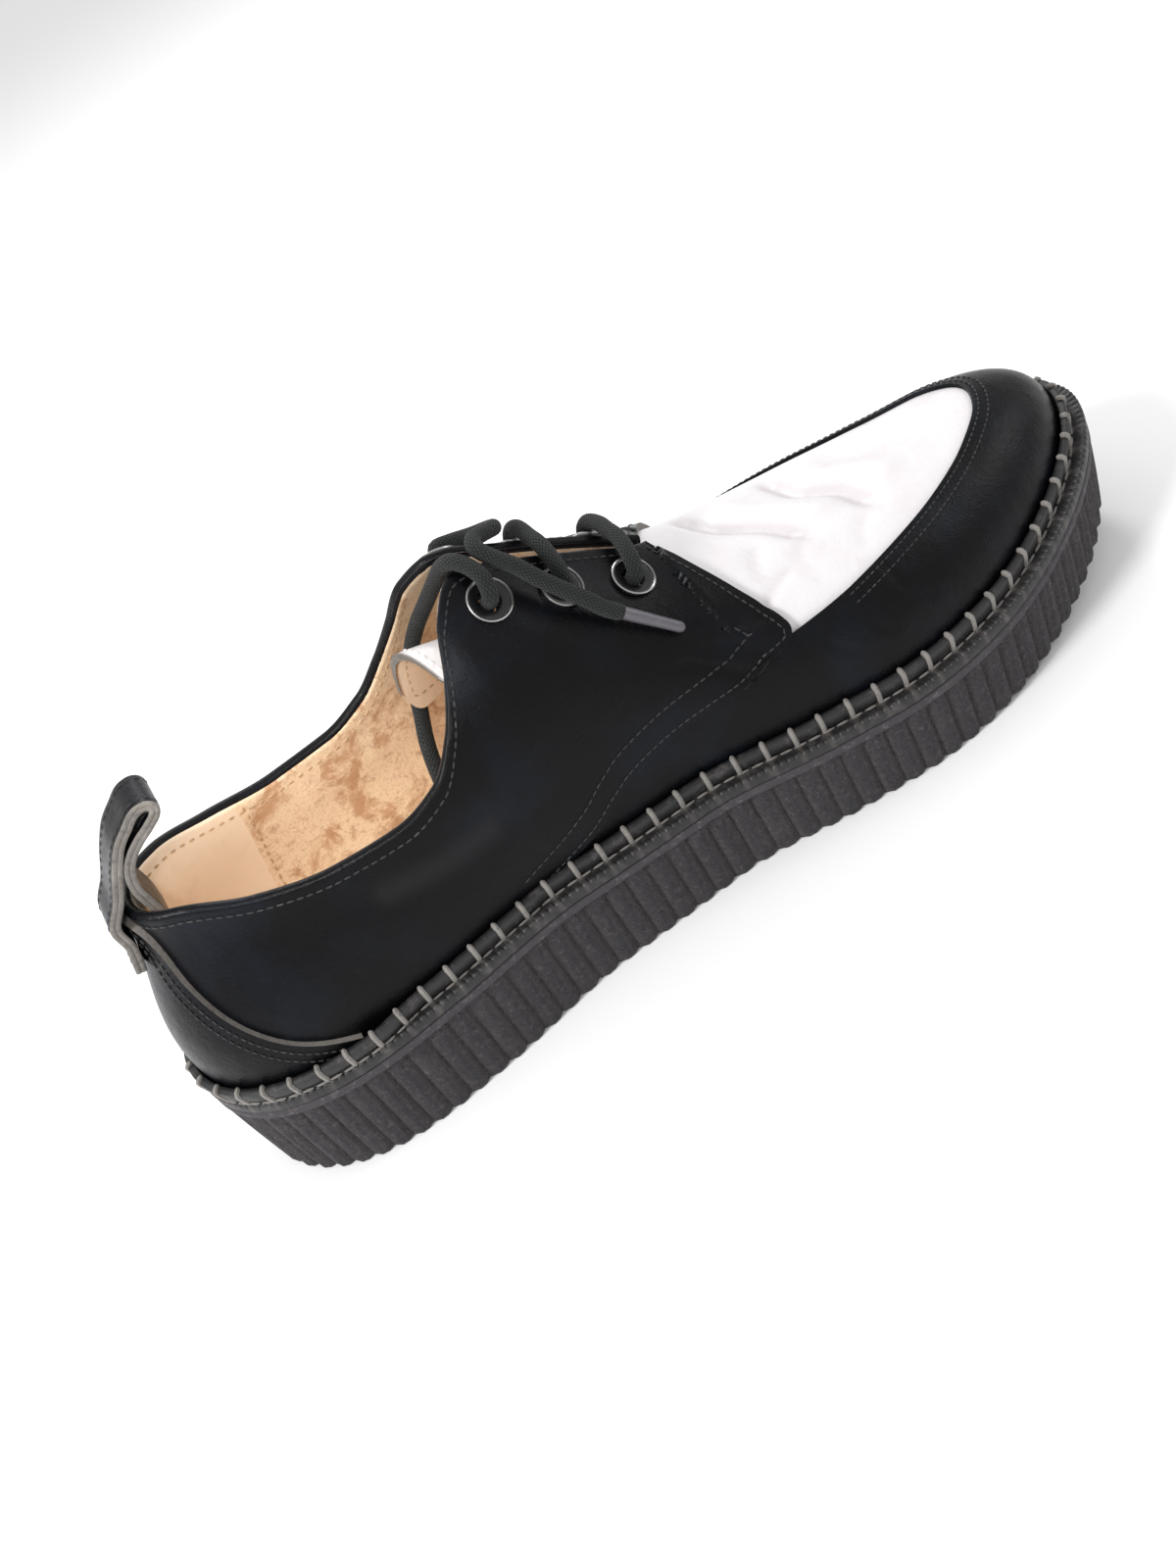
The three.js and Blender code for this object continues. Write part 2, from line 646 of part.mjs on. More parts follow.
// A flanged metal ring round each lace hole.
function makeEyelet(seat) {
  const base = quarterThickness + 2 * fitGap;
  const profile = [
    [eyeletHoleRadius - 0.5, -upperWall],
    [eyeletHoleRadius, -upperWall],
    [eyeletHoleRadius, base],
    [eyeletFlangeRadius, base],
    [eyeletFlangeRadius - 0.3, base + eyeletFlangeHeight * 0.6],
    [eyeletHoleRadius + 0.4, base + eyeletFlangeHeight],
    [eyeletHoleRadius - 0.5, base + 0.2],
  ].map(([radius, height]) => new THREE.Vector2(radius, height));
  const geometry = new THREE.LatheGeometry([...profile, profile[0]], 10);
  geometry.applyQuaternion(new THREE.Quaternion().setFromUnitVectors(new THREE.Vector3(0, 1, 0), seat.out));
  geometry.translate(seat.centre.x, seat.centre.y, seat.centre.z);
  return closedGeometry(
    range(geometry.attributes.position.count,
      (i) => new THREE.Vector3().fromBufferAttribute(geometry.attributes.position, i)),
    range(geometry.index.count / 3, (i) => [0, 1, 2].map((k) => geometry.index.array[3 * i + k])));
}

// Sections of the tongue from its root under the vamp to its free end: along is a share of the tongue's length, rise
// the lift of its middle in millimetres, width a share of the tongue's width, tilt how far its medial side is turned up
// in degrees, bend how much its middle stands over its sides, and skew how far its lateral side runs on to the heel.
const tongueSections = [
  { along: 0.00, rise: 0.0, width: 0.84, tilt: 0, bend: 7.0, skew: 0 },
  { along: 0.15, rise: 0.4, width: 0.88, tilt: 0, bend: 6.5, skew: 0 },
  { along: 0.35, rise: 2.6, width: 0.94, tilt: 2, bend: 5.5, skew: 0 },
  { along: 0.55, rise: 5.2, width: 0.96, tilt: 6, bend: 5.5, skew: 0.5 },
  { along: 0.72, rise: 7.4, width: 0.90, tilt: 12, bend: 6.5, skew: 1.5 },
  { along: 0.86, rise: 9.4, width: 0.84, tilt: 18, bend: 8.0, skew: 3.5 },
  { along: 0.95, rise: 10.8, width: 0.77, tilt: 21, bend: 8.5, skew: 5.0 },
  { along: 1.00, rise: 11.4, width: 0.70, tilt: 22, bend: 8.5, skew: 5.5 },
];
const tongueColumns = 10;

function makeTongue() {
  const root = sectionTop(angleAt(tongueFoot));
  root.z -= upperWall + 2 * fitGap;
  const end = root.clone().add(new THREE.Vector3(-tongueLength * Math.cos(tonguePitch * degrees), 0,
    tongueLength * Math.sin(tonguePitch * degrees)));
  const grid = (depth) => tongueSections.map(({ along, rise, width, tilt, bend, skew }) => {
    const middle = root.clone().lerp(end, along);
    const turn = new THREE.Matrix4().makeRotationX(-tilt * degrees);
    return range(tongueColumns + 1, (k) => {
      const t = 2 * k / tongueColumns - 1;
      const slope = -4 * bend * t / (width * tongueWidth);
      const normal = new THREE.Vector3(0, -slope, 1).normalize();
      const p = new THREE.Vector3(-skew * t, t * width * tongueWidth / 2, -bend * t * t);
      return p.addScaledVector(normal, -depth).applyMatrix4(turn).add(middle)
        .add(new THREE.Vector3(0, 0, rise));
    });
  });
  return shell(grid(0), grid(tongueThickness));
}

// A strip of the given width and thickness that follows a path in the plane of the shoe's length and height.
function strip(path, width, thickness) {
  const side = (k) => {
    const along = path[Math.min(k + 1, path.length - 1)].clone().sub(path[Math.max(k - 1, 0)]).normalize();
    return new THREE.Vector2(-along.y, along.x).multiplyScalar(thickness / 2);
  };
  const face = (sign) => path.map((p, k) => {
    const q = p.clone().addScaledVector(side(k), sign);
    return [-1, 1].map((end) => new THREE.Vector3(q.x, axisY + end * width / 2, q.y));
  });
  return shell(face(1), face(-1));
}

// Middle line of the pull loop over the heel's topline, as shares of its lean and height from the strap's place there:
// up the outside, over in a fold and down again.
const loopBend = [
  { ahead: 0.20, up: 0.50 },
  { ahead: 0.41, up: 0.78 },
  { ahead: 0.66, up: 0.95 },
  { ahead: 0.88, up: 1.00 },
  { ahead: 1.00, up: 0.94 },
  { ahead: 0.99, up: 0.80 },
  { ahead: 0.90, up: 0.71 },
  { ahead: 0.70, up: 0.62 },
  { ahead: 0.50, up: 0.50 },
  { ahead: 0.41, up: 0.35 },
];
const loopSteps = 30;
const loopInsideLevels = [1, 0.93, 0.84];

function makePullLoop() {
  const lift = counterBase + counterThickness + fitGap + loopThickness / 2;
  const sunk = -upperWall - fitGap - loopThickness / 2 - loopWidth ** 2 / (8 * collarEndRadius);
  const at = (level, offset) => {
    const p = upperOffset(0, level, offset);
    return new THREE.Vector2(p.x, p.z);
  };
  const tail = 1 - loopTail / (instepHeight * section.height(0));
  const top = at(1, lift);
  const bend = loopBend.map(({ ahead, up }) => new THREE.Vector2(top.x + ahead * loopLean, top.y + up * loopHeight));
  const path = new THREE.SplineCurve([at(tail, lift), at((1 + tail) / 2, lift), top, ...bend,
    ...loopInsideLevels.map((level) => at(level, sunk))]);
  return strip(path.getSpacedPoints(loopSteps), loopWidth, loopThickness);
}

// A round cord along a smooth path, closed at both ends.
function cord(points, diameter, segments) {
  const curve = new THREE.CatmullRomCurve3(points, false, 'centripetal');
  const sides = 6;
  const frames = curve.computeFrenetFrames(segments, false);
  const rings = range(segments + 1, (i) => {
    const centre = curve.getPointAt(i / segments);
    return range(sides, (k) => {
      const a = 2 * Math.PI * k / sides;
      return centre.clone().addScaledVector(frames.normals[i], Math.cos(a) * diameter / 2)
        .addScaledVector(frames.binormals[i], Math.sin(a) * diameter / 2);
    });
  });
  const triangles = [];
  for (let i = 0; i < segments; i += 1) {
    for (let k = 0; k < sides; k += 1) {
      const [a, b] = [i * sides + k, i * sides + (k + 1) % sides];
      triangles.push([a, b, b + sides], [a, b + sides, a + sides]);
    }
  }
  for (let k = 1; k < sides - 1; k += 1) {
    triangles.push([0, k + 1, k], [segments * sides, segments * sides + k, segments * sides + k + 1]);
  }
  return closedGeometry(rings.flat(), triangles);
}

// One bar of the lace, from above a medial eyelet to above the lateral one across from it.
function makeLaceBar(place) {
  const low = quarterThickness + 2 * fitGap + eyeletFlangeHeight + fitGap;
  const rise = (side) => {
    const seat = seats.find((one) => one.side === side && one.place === place);
    const over = (t, height) => upperOffset(seat.angle, mix(seat.level, 1, t), height);
    return [over(0, low), over(0, low + laceDiameter * 0.35), over(0.3, low + laceDiameter * 0.52),
      over(0.95, low + laceDiameter * 0.3)];
  };
  const [near, far] = [rise(-1), rise(1)];
  const middle = near[3].clone().add(far[3]).multiplyScalar(0.5);
  middle.z += laceHump;
  return cord([...near, middle, ...far.reverse()], laceDiameter, 15);
}

// Routes of the lace's two ends, from above their eyelets. The lateral end crosses over the throat and lies on the
// medial quarter. The medial end goes over the facing and down into the shoe beside the tongue.
const lateralEndRoute = [
  [-19.6, 15.9, 104.9], [-18.8, 16.9, 105.6], [-15, 16.6, 104.8], [-10.2, 14, 104.2], [-6.2, 9.4, 105.2], [-6, 3.8, 107.6],
  [-9.6, -1, 110.6], [-13.2, -4.8, 112.8], [-14.4, -9, 112.6], [-12.8, -12.6, 110.2], [-9.9, -15.9, 106.6],
  [-7, -19, 101.4], [-3.9, -21.3, 96.4], [-0.7, -22.6, 91.4], [1.8, -23.8, 86.9], [4.1, -24.7, 84.3],
];
const medialEndRoute = [
  [-19.2, -17.2, 104.3], [-18.9, -18.4, 106], [-18, -16.4, 109.4], [-18.8, -12.6, 112], [-20.8, -8.4, 113.4],
  [-23, -3.6, 111.4], [-26, 1.6, 106.4], [-29.8, 6.8, 100.6], [-34.4, 12, 94.2], [-38.8, 15.8, 87.2],
  [-42.6, 17.4, 79.4], [-46.4, 12, 73.2], [-50.2, 4, 69.6], [-53, -3.6, 65], [-55, -9.6, 58.6], [-56, -13.6, 52],
];
const route = (points) => points.map(([x, y, z]) => new THREE.Vector3(x, y, z));

// The hard tip of a lace end, set on past the last point of its route.
function makeAglet(points) {
  const [before, last] = route(points).slice(-2);
  const along = last.clone().sub(before).normalize();
  const at = (distance) => last.clone().addScaledVector(along, distance);
  return cord([at(fitGap), at(agletLength * 0.5), at(agletLength)], agletDiameter, 4);
}

const finishes = {
  blackLeather: { color: 0x141416, roughness: 0.42 },
  whiteLeather: { color: 0xe9e6e4, roughness: 0.45 },
  lining: { color: 0xd9ae82, roughness: 0.75 },
  rubber: { color: 0x2c2a2e, roughness: 0.85 },
  welt: { color: 0x1d1b1d, roughness: 0.6 },
  metal: { color: 0x4a4a4d, roughness: 0.35, metalness: 0.9 },
  lace: { color: 0x343838, roughness: 0.9 },
  aglet: { color: 0x55545a, roughness: 0.4 },
};

const shoe = new THREE.Group();

function add(name, geometry, finish) {
  const mesh = new THREE.Mesh(geometry, new THREE.MeshStandardMaterial(finishes[finish]));
  mesh.name = name;
  shoe.add(mesh);
}

add('outsole', makeOutsole(), 'rubber');
add('welt', makeWelt(), 'welt');
add('insole', makeInsole(), 'lining');
add('upper', makeUpper(), 'whiteLeather');
add('quarter_lateral', makeQuarter(1), 'blackLeather');
add('quarter_medial', makeQuarter(-1), 'blackLeather');
add('mudguard', makeMudguard(), 'blackLeather');
add('heel_counter', makeCounter(), 'blackLeather');
for (const seat of seats) {
  add(`eyelet_${seat.side > 0 ? 'lateral' : 'medial'}_${seat.place}`, makeEyelet(seat), 'metal');
}

add('tongue', makeTongue(), 'whiteLeather');
add('pull_loop', makePullLoop(), 'blackLeather');
for (let place = 2; place <= eyeletCount; place += 1) add(`lace_bar_${place}`, makeLaceBar(place), 'lace');
add('lace_end_lateral', cord(route(lateralEndRoute), laceDiameter, 30), 'lace');
add('lace_end_medial', cord(route(medialEndRoute), laceDiameter, 34), 'lace');
add('aglet_lateral', makeAglet(lateralEndRoute), 'aglet');
add('aglet_medial', makeAglet(medialEndRoute), 'aglet');

export default shoe;
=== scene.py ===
import math
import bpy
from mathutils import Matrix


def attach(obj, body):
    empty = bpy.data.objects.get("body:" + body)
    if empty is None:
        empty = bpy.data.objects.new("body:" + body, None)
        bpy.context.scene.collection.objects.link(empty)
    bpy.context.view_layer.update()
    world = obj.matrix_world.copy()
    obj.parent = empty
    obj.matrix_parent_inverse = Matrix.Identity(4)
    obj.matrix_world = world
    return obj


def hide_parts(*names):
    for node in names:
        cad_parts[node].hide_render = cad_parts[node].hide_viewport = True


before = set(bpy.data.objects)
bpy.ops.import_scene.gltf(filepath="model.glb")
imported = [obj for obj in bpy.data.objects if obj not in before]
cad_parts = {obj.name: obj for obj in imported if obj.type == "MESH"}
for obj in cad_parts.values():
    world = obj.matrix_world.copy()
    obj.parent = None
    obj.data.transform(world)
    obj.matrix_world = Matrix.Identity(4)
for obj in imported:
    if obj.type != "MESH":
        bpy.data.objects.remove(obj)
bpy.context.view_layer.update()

from types import SimpleNamespace

import bmesh
import bpy
import numpy as np
from bpy.props import FloatProperty, FloatVectorProperty, PointerProperty
from mathutils import Matrix, Vector

bl_info = {
    "name": "Left derby shoe",
    "version": (1, 0, 0),
    "blender": (4, 5, 0),
    "location": "View3D > Sidebar > Shoe",
    "description": "Dresses the frame of a left derby shoe with leather, rubber, thread and cord",
    "category": "Object",
}

# The shoe's own sizes, in millimetres. +X points to the toe, +Y to the outer side and +Z up.
MM = 0.001
SOLE_LENGTH = 300.0
BALL_WIDTH = 102.0
HEEL_END_RADIUS = 33.0
TOE_END_RADIUS = 21.0
HEEL_STACK = 30.0
TOE_SPRING = 14.0
INSTEP_HEIGHT = 80.0
SOLE_TAPER = 2.2
TREAD_BORDER = 4.5
TREAD_GROOVES = 43
GAP = 0.3
WELT_THICKNESS = 3.6
BEAD_HEIGHT = 5.2
BEAD_WIDTH = 2.1
WELT_UNDERCUT = 3.4
HEEL_MARGIN = 7.0
SIDE_MARGIN = 7.6
TOE_MARGIN = 8.6
UPPER_WALL = 1.6
QUARTER_THICKNESS = 1.7
MUDGUARD_THICKNESS = 1.1
COUNTER_THICKNESS = 1.3
INSOLE_THICKNESS = 3.0
COLLAR_END_RADIUS = 13.0
EYELET_SPACING = 17.5
EYELET_FIRST = 3.0
EYELET_HOLE = 2.5
EYELET_EDGE = 11.0
TONGUE_THICKNESS = 2.2
TONGUE_WIDTH = 40.0
TONGUE_LENGTH = 77.0
TONGUE_PITCH = 10.0
TONGUE_FOOT = 0.62
LOOP_WIDTH = 15.0
LOOP_THICKNESS = 2.3
LOOP_HEIGHT = 21.0
LOOP_LEAN = 22.5
LOOP_TAIL = 18.0
LACE_DIAMETER = 4.2
LACE_HUMP = 0.2
AGLET_LENGTH = 16.0
AGLET_DIAMETER = 3.2
THROAT_FOOT = 0.59
COUNTER_REACH = 44.0
EYELET_COUNT = 3
FULL_TURN = 2 * math.pi
NUDGE = 1e-3


def table(names, *rows):
    """A table of named columns."""
    return {name: np.array([row[i] for row in rows], float) for i, name in enumerate(names)}


# Half widths of the sole's edge, as shares of the ball width.
SOLE_OUTLINE = table(
    ("at", "lateral", "medial"),
    (0.10, 0.338, 0.342), (0.22, 0.362, 0.360), (0.36, 0.392, 0.330), (0.48, 0.432, 0.350),
    (0.60, 0.484, 0.440), (0.70, 0.503, 0.490), (0.80, 0.460, 0.456), (0.90, 0.340, 0.346),
    (0.96, 0.222, 0.226))
# The sole's thickness as a share of the heel stack, and its underside's lift as a share of the toe spring.
SOLE_PROFILE = table(
    ("at", "thickness", "lift"),
    (0, 1, 0), (0.25, 0.98, 0), (0.45, 0.89, 0), (0.70, 0.79, 0), (0.80, 0.76, 0.10),
    (0.90, 0.74, 0.46), (1, 0.73, 1))
# Sections of the upper. foot and top are shares of its length at the welt and at the topline or ridge, height
# is a share of the instep height, half is the opening's half width as a share of the ball width, and lean is
# the wall's angle at the top in degrees. rise, swell and reach set the curve's handles, as shares of its
# chord.
UPPER_SECTIONS = table(
    ("foot", "top", "height", "half", "lean", "rise", "swell", "reach"),
    (0, 0.039, 0.690, 0, 98, 0.40, 0.09, 0.30), (0.05, 0.076, 0.675, 0.152, 94, 0.40, 0.10, 0.30),
    (0.12, 0.130, 0.605, 0.218, 88, 0.40, 0.11, 0.30), (0.20, 0.198, 0.542, 0.252, 81, 0.38, 0.11, 0.30),
    (0.27, 0.258, 0.530, 0.268, 78, 0.36, 0.10, 0.32), (0.325, 0.303, 0.575, 0.268, 72, 0.35, 0.09, 0.33),
    (0.365, 0.335, 0.670, 0.242, 64, 0.34, 0.09, 0.34), (0.40, 0.365, 0.800, 0.185, 54, 0.33, 0.09, 0.34),
    (0.425, 0.391, 0.930, 0.115, 44, 0.33, 0.08, 0.34), (0.45, 0.421, 0.985, 0.060, 37, 0.33, 0.08, 0.34),
    (0.49, 0.476, 0.890, 0.044, 30, 0.33, 0.08, 0.34), (0.535, 0.530, 0.772, 0.036, 22, 0.33, 0.08, 0.36),
    (0.57, 0.572, 0.672, 0.026, 12, 0.34, 0.08, 0.38), (0.59, 0.592, 0.628, 0, 0, 0.35, 0.08, 0.40),
    (0.66, 0.642, 0.548, 0, 0, 0.36, 0.08, 0.42), (0.74, 0.704, 0.490, 0, 0, 0.36, 0.08, 0.44),
    (0.82, 0.770, 0.445, 0, 0, 0.36, 0.08, 0.45), (0.90, 0.832, 0.405, 0, 0, 0.36, 0.08, 0.45),
    (0.95, 0.866, 0.382, 0, 0, 0.38, 0.08, 0.45), (1, 0.882, 0.368, 0, 0, 0.40, 0.08, 0.45))
# Edges of the panels: level is the share of the way up the section, foot the section that the edge crosses.
QUARTER_EDGE = table(
    ("level", "foot"),
    (0, 0.315), (0.10, 0.372), (0.20, 0.450), (0.28, 0.526), (0.34, 0.592), (0.38, 0.626),
    (0.45, 0.637), (0.65, 0.624), (0.82, 0.604), (1, 0.580))
MUDGUARD_EDGE = table(
    ("foot", "level"), (0.62, 0.39), (0.76, 0.51), (0.88, 0.60), (0.95, 0.68), (1, 0.74))
# Top of the heel counter by the angle from the heel, in degrees.
COUNTER_EDGE = table(
    ("angle", "level"), (0, 0.97), (9, 0.92), (19, 0.60), (27, 0.39), (35, 0.22), (44, 0.08))
# Sections of the tongue along its length: rise and bend in millimetres, width as a share, tilt in degrees,
# and skew, the sideways lag of its edges in millimetres.
TONGUE_SECTIONS = table(
    ("along", "rise", "width", "tilt", "bend", "skew"),
    (0, 0, 0.84, 0, 7, 0), (0.15, 0.4, 0.88, 0, 6.5, 0), (0.35, 2.6, 0.94, 2, 5.5, 0),
    (0.55, 5.2, 0.96, 6, 6, 0.5), (0.72, 7.4, 0.90, 12, 9, 1.5), (0.86, 9.4, 0.82, 18, 13, 3.5),
    (0.95, 10.8, 0.74, 21, 15.5, 5), (1, 11.4, 0.68, 22, 16, 5.5))
# The pull loop's fold over the heel, as shares of its lean and of its height.
LOOP_BEND = table(
    ("ahead", "up"),
    (0.218, 0.267), (0.44, 0.605), (0.627, 0.833), (0.80, 0.957), (0.969, 1.057), (1.111, 1.043),
    (1.156, 0.971), (1.124, 0.90), (0.987, 0.819), (0.813, 0.743), (0.636, 0.629), (0.52, 0.486),
    (0.453, 0.262))

# Routes of the lace's two ends, from inside their eyelets to where their tips begin.
LATERAL_ROUTE = (
    (-19.6, 15.9, 104.9), (-18.8, 16.9, 105.6), (-15, 16.6, 104.8), (-10.2, 14, 104.2), (-6.2, 9.4, 105.2),
    (-6, 3.8, 107.6), (-9.6, -1, 110.6), (-13.2, -4.8, 112.8), (-14.4, -9, 112.6), (-12.8, -12.6, 110.2),
    (-9.9, -15.9, 106.6), (-7, -19, 101.4), (-3.9, -21.3, 96.4), (-0.7, -22.6, 91.4), (1.8, -23.8, 86.9),
    (4.1, -24.7, 84.3))
MEDIAL_ROUTE = (
    (-19.2, -17.2, 104.3), (-18.9, -18.4, 106), (-18, -16.4, 109.4), (-18.8, -12.6, 112),
    (-20.8, -8.4, 113.4), (-23, -3.6, 111.4), (-26, 1.6, 106.4), (-29.8, 6.8, 100.6), (-34.4, 12, 94.2),
    (-38.8, 15.8, 87.2), (-42.6, 17.4, 79.4), (-46.4, 12, 73.2), (-50.2, 4, 69.6), (-53, -3.6, 65),
    (-55, -9.6, 58.6), (-56, -13.6, 52))


def through(rows, by, key):
    """A smooth curve through a table's rows that never overshoots them."""
    x, y = rows[by], rows[key]
    slopes = np.diff(y) / np.diff(x)
    before, after = slopes[:-1], slopes[1:]
    total = np.where(before + after == 0, 1, before + after)
    middle = np.where(before * after <= 0, 0, 2 * before * after / total)
    tangents = np.concatenate([slopes[:1], middle, slopes[-1:]])

    def curve(at):
        value = np.clip(at, x[0], x[-1])
        i = np.clip(np.searchsorted(x, value) - 1, 0, len(x) - 2)
        span = x[i + 1] - x[i]
        t = (value - x[i]) / span
        blend = t * t * (3 - 2 * t)
        return (y[i] * (1 - blend) + y[i + 1] * blend
                + span * t * (1 - t) * (tangents[i] * (1 - t) - tangents[i + 1] * t))
    return curve


def mix(a, b, t):
    return a + (b - a) * t


def smoothstep(value, low, high):
    t = np.clip((value - low) / (high - low), 0, 1)
    return t * t * (3 - 2 * t)


def points_of(*columns):
    return np.stack(np.broadcast_arrays(*columns), axis=-1).astype(float)


def unit(vectors):
    return vectors / np.maximum(np.linalg.norm(vectors, axis=-1, keepdims=True), 1e-12)


def angle_at(share):
    """The angle round a closed outline at a share of its length: 0 at the heel and pi at the toe."""
    return np.arccos(np.clip(1 - 2 * np.asarray(share, float), -1, 1))


def share_at(angle):
    return (1 - np.cos(angle)) / 2


def rounded_half_width(rows, by, key, scale, length, heel_radius, toe_radius):
    """Half width by share of the length, for an outline with round ends."""
    swell = {"at": np.concatenate([[0], rows[by], [1]]),
             "k": np.concatenate([[math.sqrt(heel_radius * length / 2)],
                                  rows[key] * scale / np.sin(angle_at(rows[by])),
                                  [math.sqrt(toe_radius * length / 2)]])}
    k = through(swell, "at", "k")
    return lambda share: k(share) * np.sin(angle_at(share))


lateral_half = rounded_half_width(
    SOLE_OUTLINE, "at", "lateral", BALL_WIDTH, SOLE_LENGTH, HEEL_END_RADIUS, TOE_END_RADIUS)
medial_half = rounded_half_width(
    SOLE_OUTLINE, "at", "medial", BALL_WIDTH, SOLE_LENGTH, HEEL_END_RADIUS, TOE_END_RADIUS)
EVERY_SHARE = np.linspace(0, 1, 401)
AXIS_Y = (medial_half(EVERY_SHARE).max() - lateral_half(EVERY_SHARE).max()) / 2


def sole_edge(angle):
    """The sole's edge by signed angle: positive on the lateral side, 0 at the heel and pi at the toe."""
    turn = np.arctan2(np.sin(angle), np.cos(angle))
    share = share_at(turn)
    half = np.where(turn < 0, -medial_half(share), lateral_half(share))
    return points_of(SOLE_LENGTH * (share - 0.5), AXIS_Y + half)


def outward_at(angle):
    along = unit(sole_edge(angle + NUDGE) - sole_edge(angle - NUDGE))
    return points_of(-along[..., 1], along[..., 0])


def inset_edge(angle, inset):
    return sole_edge(angle) - outward_at(angle) * np.asarray(inset, float)[..., None]


thickness_at = through(SOLE_PROFILE, "at", "thickness")
lift_at = through(SOLE_PROFILE, "at", "lift")
margin_at = through(
    table(("at", "margin"), (0, HEEL_MARGIN), (0.25, SIDE_MARGIN), (0.75, SIDE_MARGIN), (1, TOE_MARGIN)),
    "at", "margin")


def ground_at(x):
    return TOE_SPRING * lift_at(x / SOLE_LENGTH + 0.5)


def sole_top_at(x):
    return ground_at(x) + HEEL_STACK * thickness_at(x / SOLE_LENGTH + 0.5)


def upper_foot_at(x):
    return sole_top_at(x) + GAP + WELT_THICKNESS + GAP


section = {key: through(UPPER_SECTIONS, "foot", key)
           for key in ("top", "height", "lean", "rise", "swell", "reach")}
UPPER_LENGTH = SOLE_LENGTH - HEEL_MARGIN - TOE_MARGIN
opening_half = rounded_half_width(
    {key: column[1:-1] for key, column in UPPER_SECTIONS.items()},
    "foot", "half", BALL_WIDTH, UPPER_LENGTH, COLLAR_END_RADIUS, 0)


def upper_x(share):
    return HEEL_MARGIN - SOLE_LENGTH / 2 + UPPER_LENGTH * share


def section_top(angle):
    """Top of the section at an angle: the topline by the opening, or the vamp's ridge in front of it."""
    turn = np.arctan2(np.sin(angle), np.cos(angle))
    share = share_at(turn)
    x = upper_x(section["top"](share))
    half = np.where(share < THROAT_FOOT, np.sign(turn) * opening_half(share), 0)
    return points_of(x, AXIS_Y + half, upper_foot_at(x) + INSTEP_HEIGHT * section["height"](share))


def ridge_slope(share):
    low = section_top(angle_at(np.maximum(share - 2 * NUDGE, 0)))
    high = section_top(angle_at(np.minimum(share + 2 * NUDGE, 1)))
    return (high[..., 2] - low[..., 2]) / (high[..., 0] - low[..., 0])


def upper_point(angle, level):
    """A point of the upper's outer face: angle round the shoe, level 0 at the welt and 1 at the top."""
    angle, level = np.broadcast_arrays(np.asarray(angle, float), np.asarray(level, float))
    share = share_at(angle)
    out = outward_at(angle)
    edge = inset_edge(angle, margin_at(share))
    foot = points_of(edge[..., 0], edge[..., 1], upper_foot_at(edge[..., 0]))
    top = section_top(angle)
    chord = np.linalg.norm(top - foot, axis=-1)
    lean = np.radians(section["lean"](share))
    flat = np.where(share < THROAT_FOOT, 0, ridge_slope(share) * out[..., 0])
    swell = section["swell"](share)
    rise = section["rise"](share)
    low = foot + chord[..., None] * points_of(out[..., 0] * swell, out[..., 1] * swell, rise)
    high = top + (chord * section["reach"](share))[..., None] * points_of(
        out[..., 0] * np.cos(lean), out[..., 1] * np.cos(lean), flat - np.sin(lean))
    t = level[..., None]
    return ((1 - t) ** 3 * foot + 3 * t * (1 - t) ** 2 * low + 3 * t * t * (1 - t) * high + t ** 3 * top)


def upper_normal(angle, level):
    angle, level = np.broadcast_arrays(np.asarray(angle, float), np.asarray(level, float))
    share = share_at(angle)
    around = upper_point(angle + NUDGE, level) - upper_point(angle - NUDGE, level)
    up = upper_point(angle, np.minimum(level + NUDGE, 1)) - upper_point(angle, np.maximum(level - NUDGE, 0))
    normal = unit(np.cross(up, around))
    ridge = unit(points_of(-ridge_slope(share), 0, 1))
    on_ridge = (level > 0.9999) & (share >= THROAT_FOOT - 1e-9)
    return np.where(on_ridge[..., None], ridge, normal)


def upper_offset(angle, level, offset):
    return upper_point(angle, level) + upper_normal(angle, level) * np.asarray(offset, float)[..., None]


quarter_front = through(QUARTER_EDGE, "level", "foot")
mudguard_level = through(MUDGUARD_EDGE, "foot", "level")
counter_level = through(COUNTER_EDGE, "angle", "level")
QUARTER_FACE = GAP + QUARTER_THICKNESS
MUDGUARD_FACE = GAP + MUDGUARD_THICKNESS
COUNTER_BASE = GAP + QUARTER_THICKNESS + 1.5 * GAP
COUNTER_FACE = COUNTER_BASE + COUNTER_THICKNESS


OPENING_END_FOOT = 0.450


def eyelet_seats():
    """Centre, outward direction, angle, level and side of each lace hole."""
    seats = []
    feet = np.arange(0.44, THROAT_FOOT, 0.001)
    angles = angle_at(feet)
    tops = section_top(angles)[:, 0]
    levels = np.arange(1, 0.4, -0.002)
    for side in (1, -1):
        for i in range(EYELET_COUNT):
            x = upper_x(section["top"](OPENING_END_FOOT)) + EYELET_FIRST + EYELET_SPACING * i
            angle = side * angles[np.argmax(tops >= x)]
            reach = np.linalg.norm(upper_point(angle, levels) - upper_point(angle, 1), axis=-1)
            level = levels[np.argmax(reach >= EYELET_EDGE)]
            seats.append({"centre": upper_point(angle, level), "out": upper_normal(angle, level),
                          "angle": float(angle), "level": float(level), "side": side, "place": i + 1})
    return seats


SEATS = eyelet_seats()


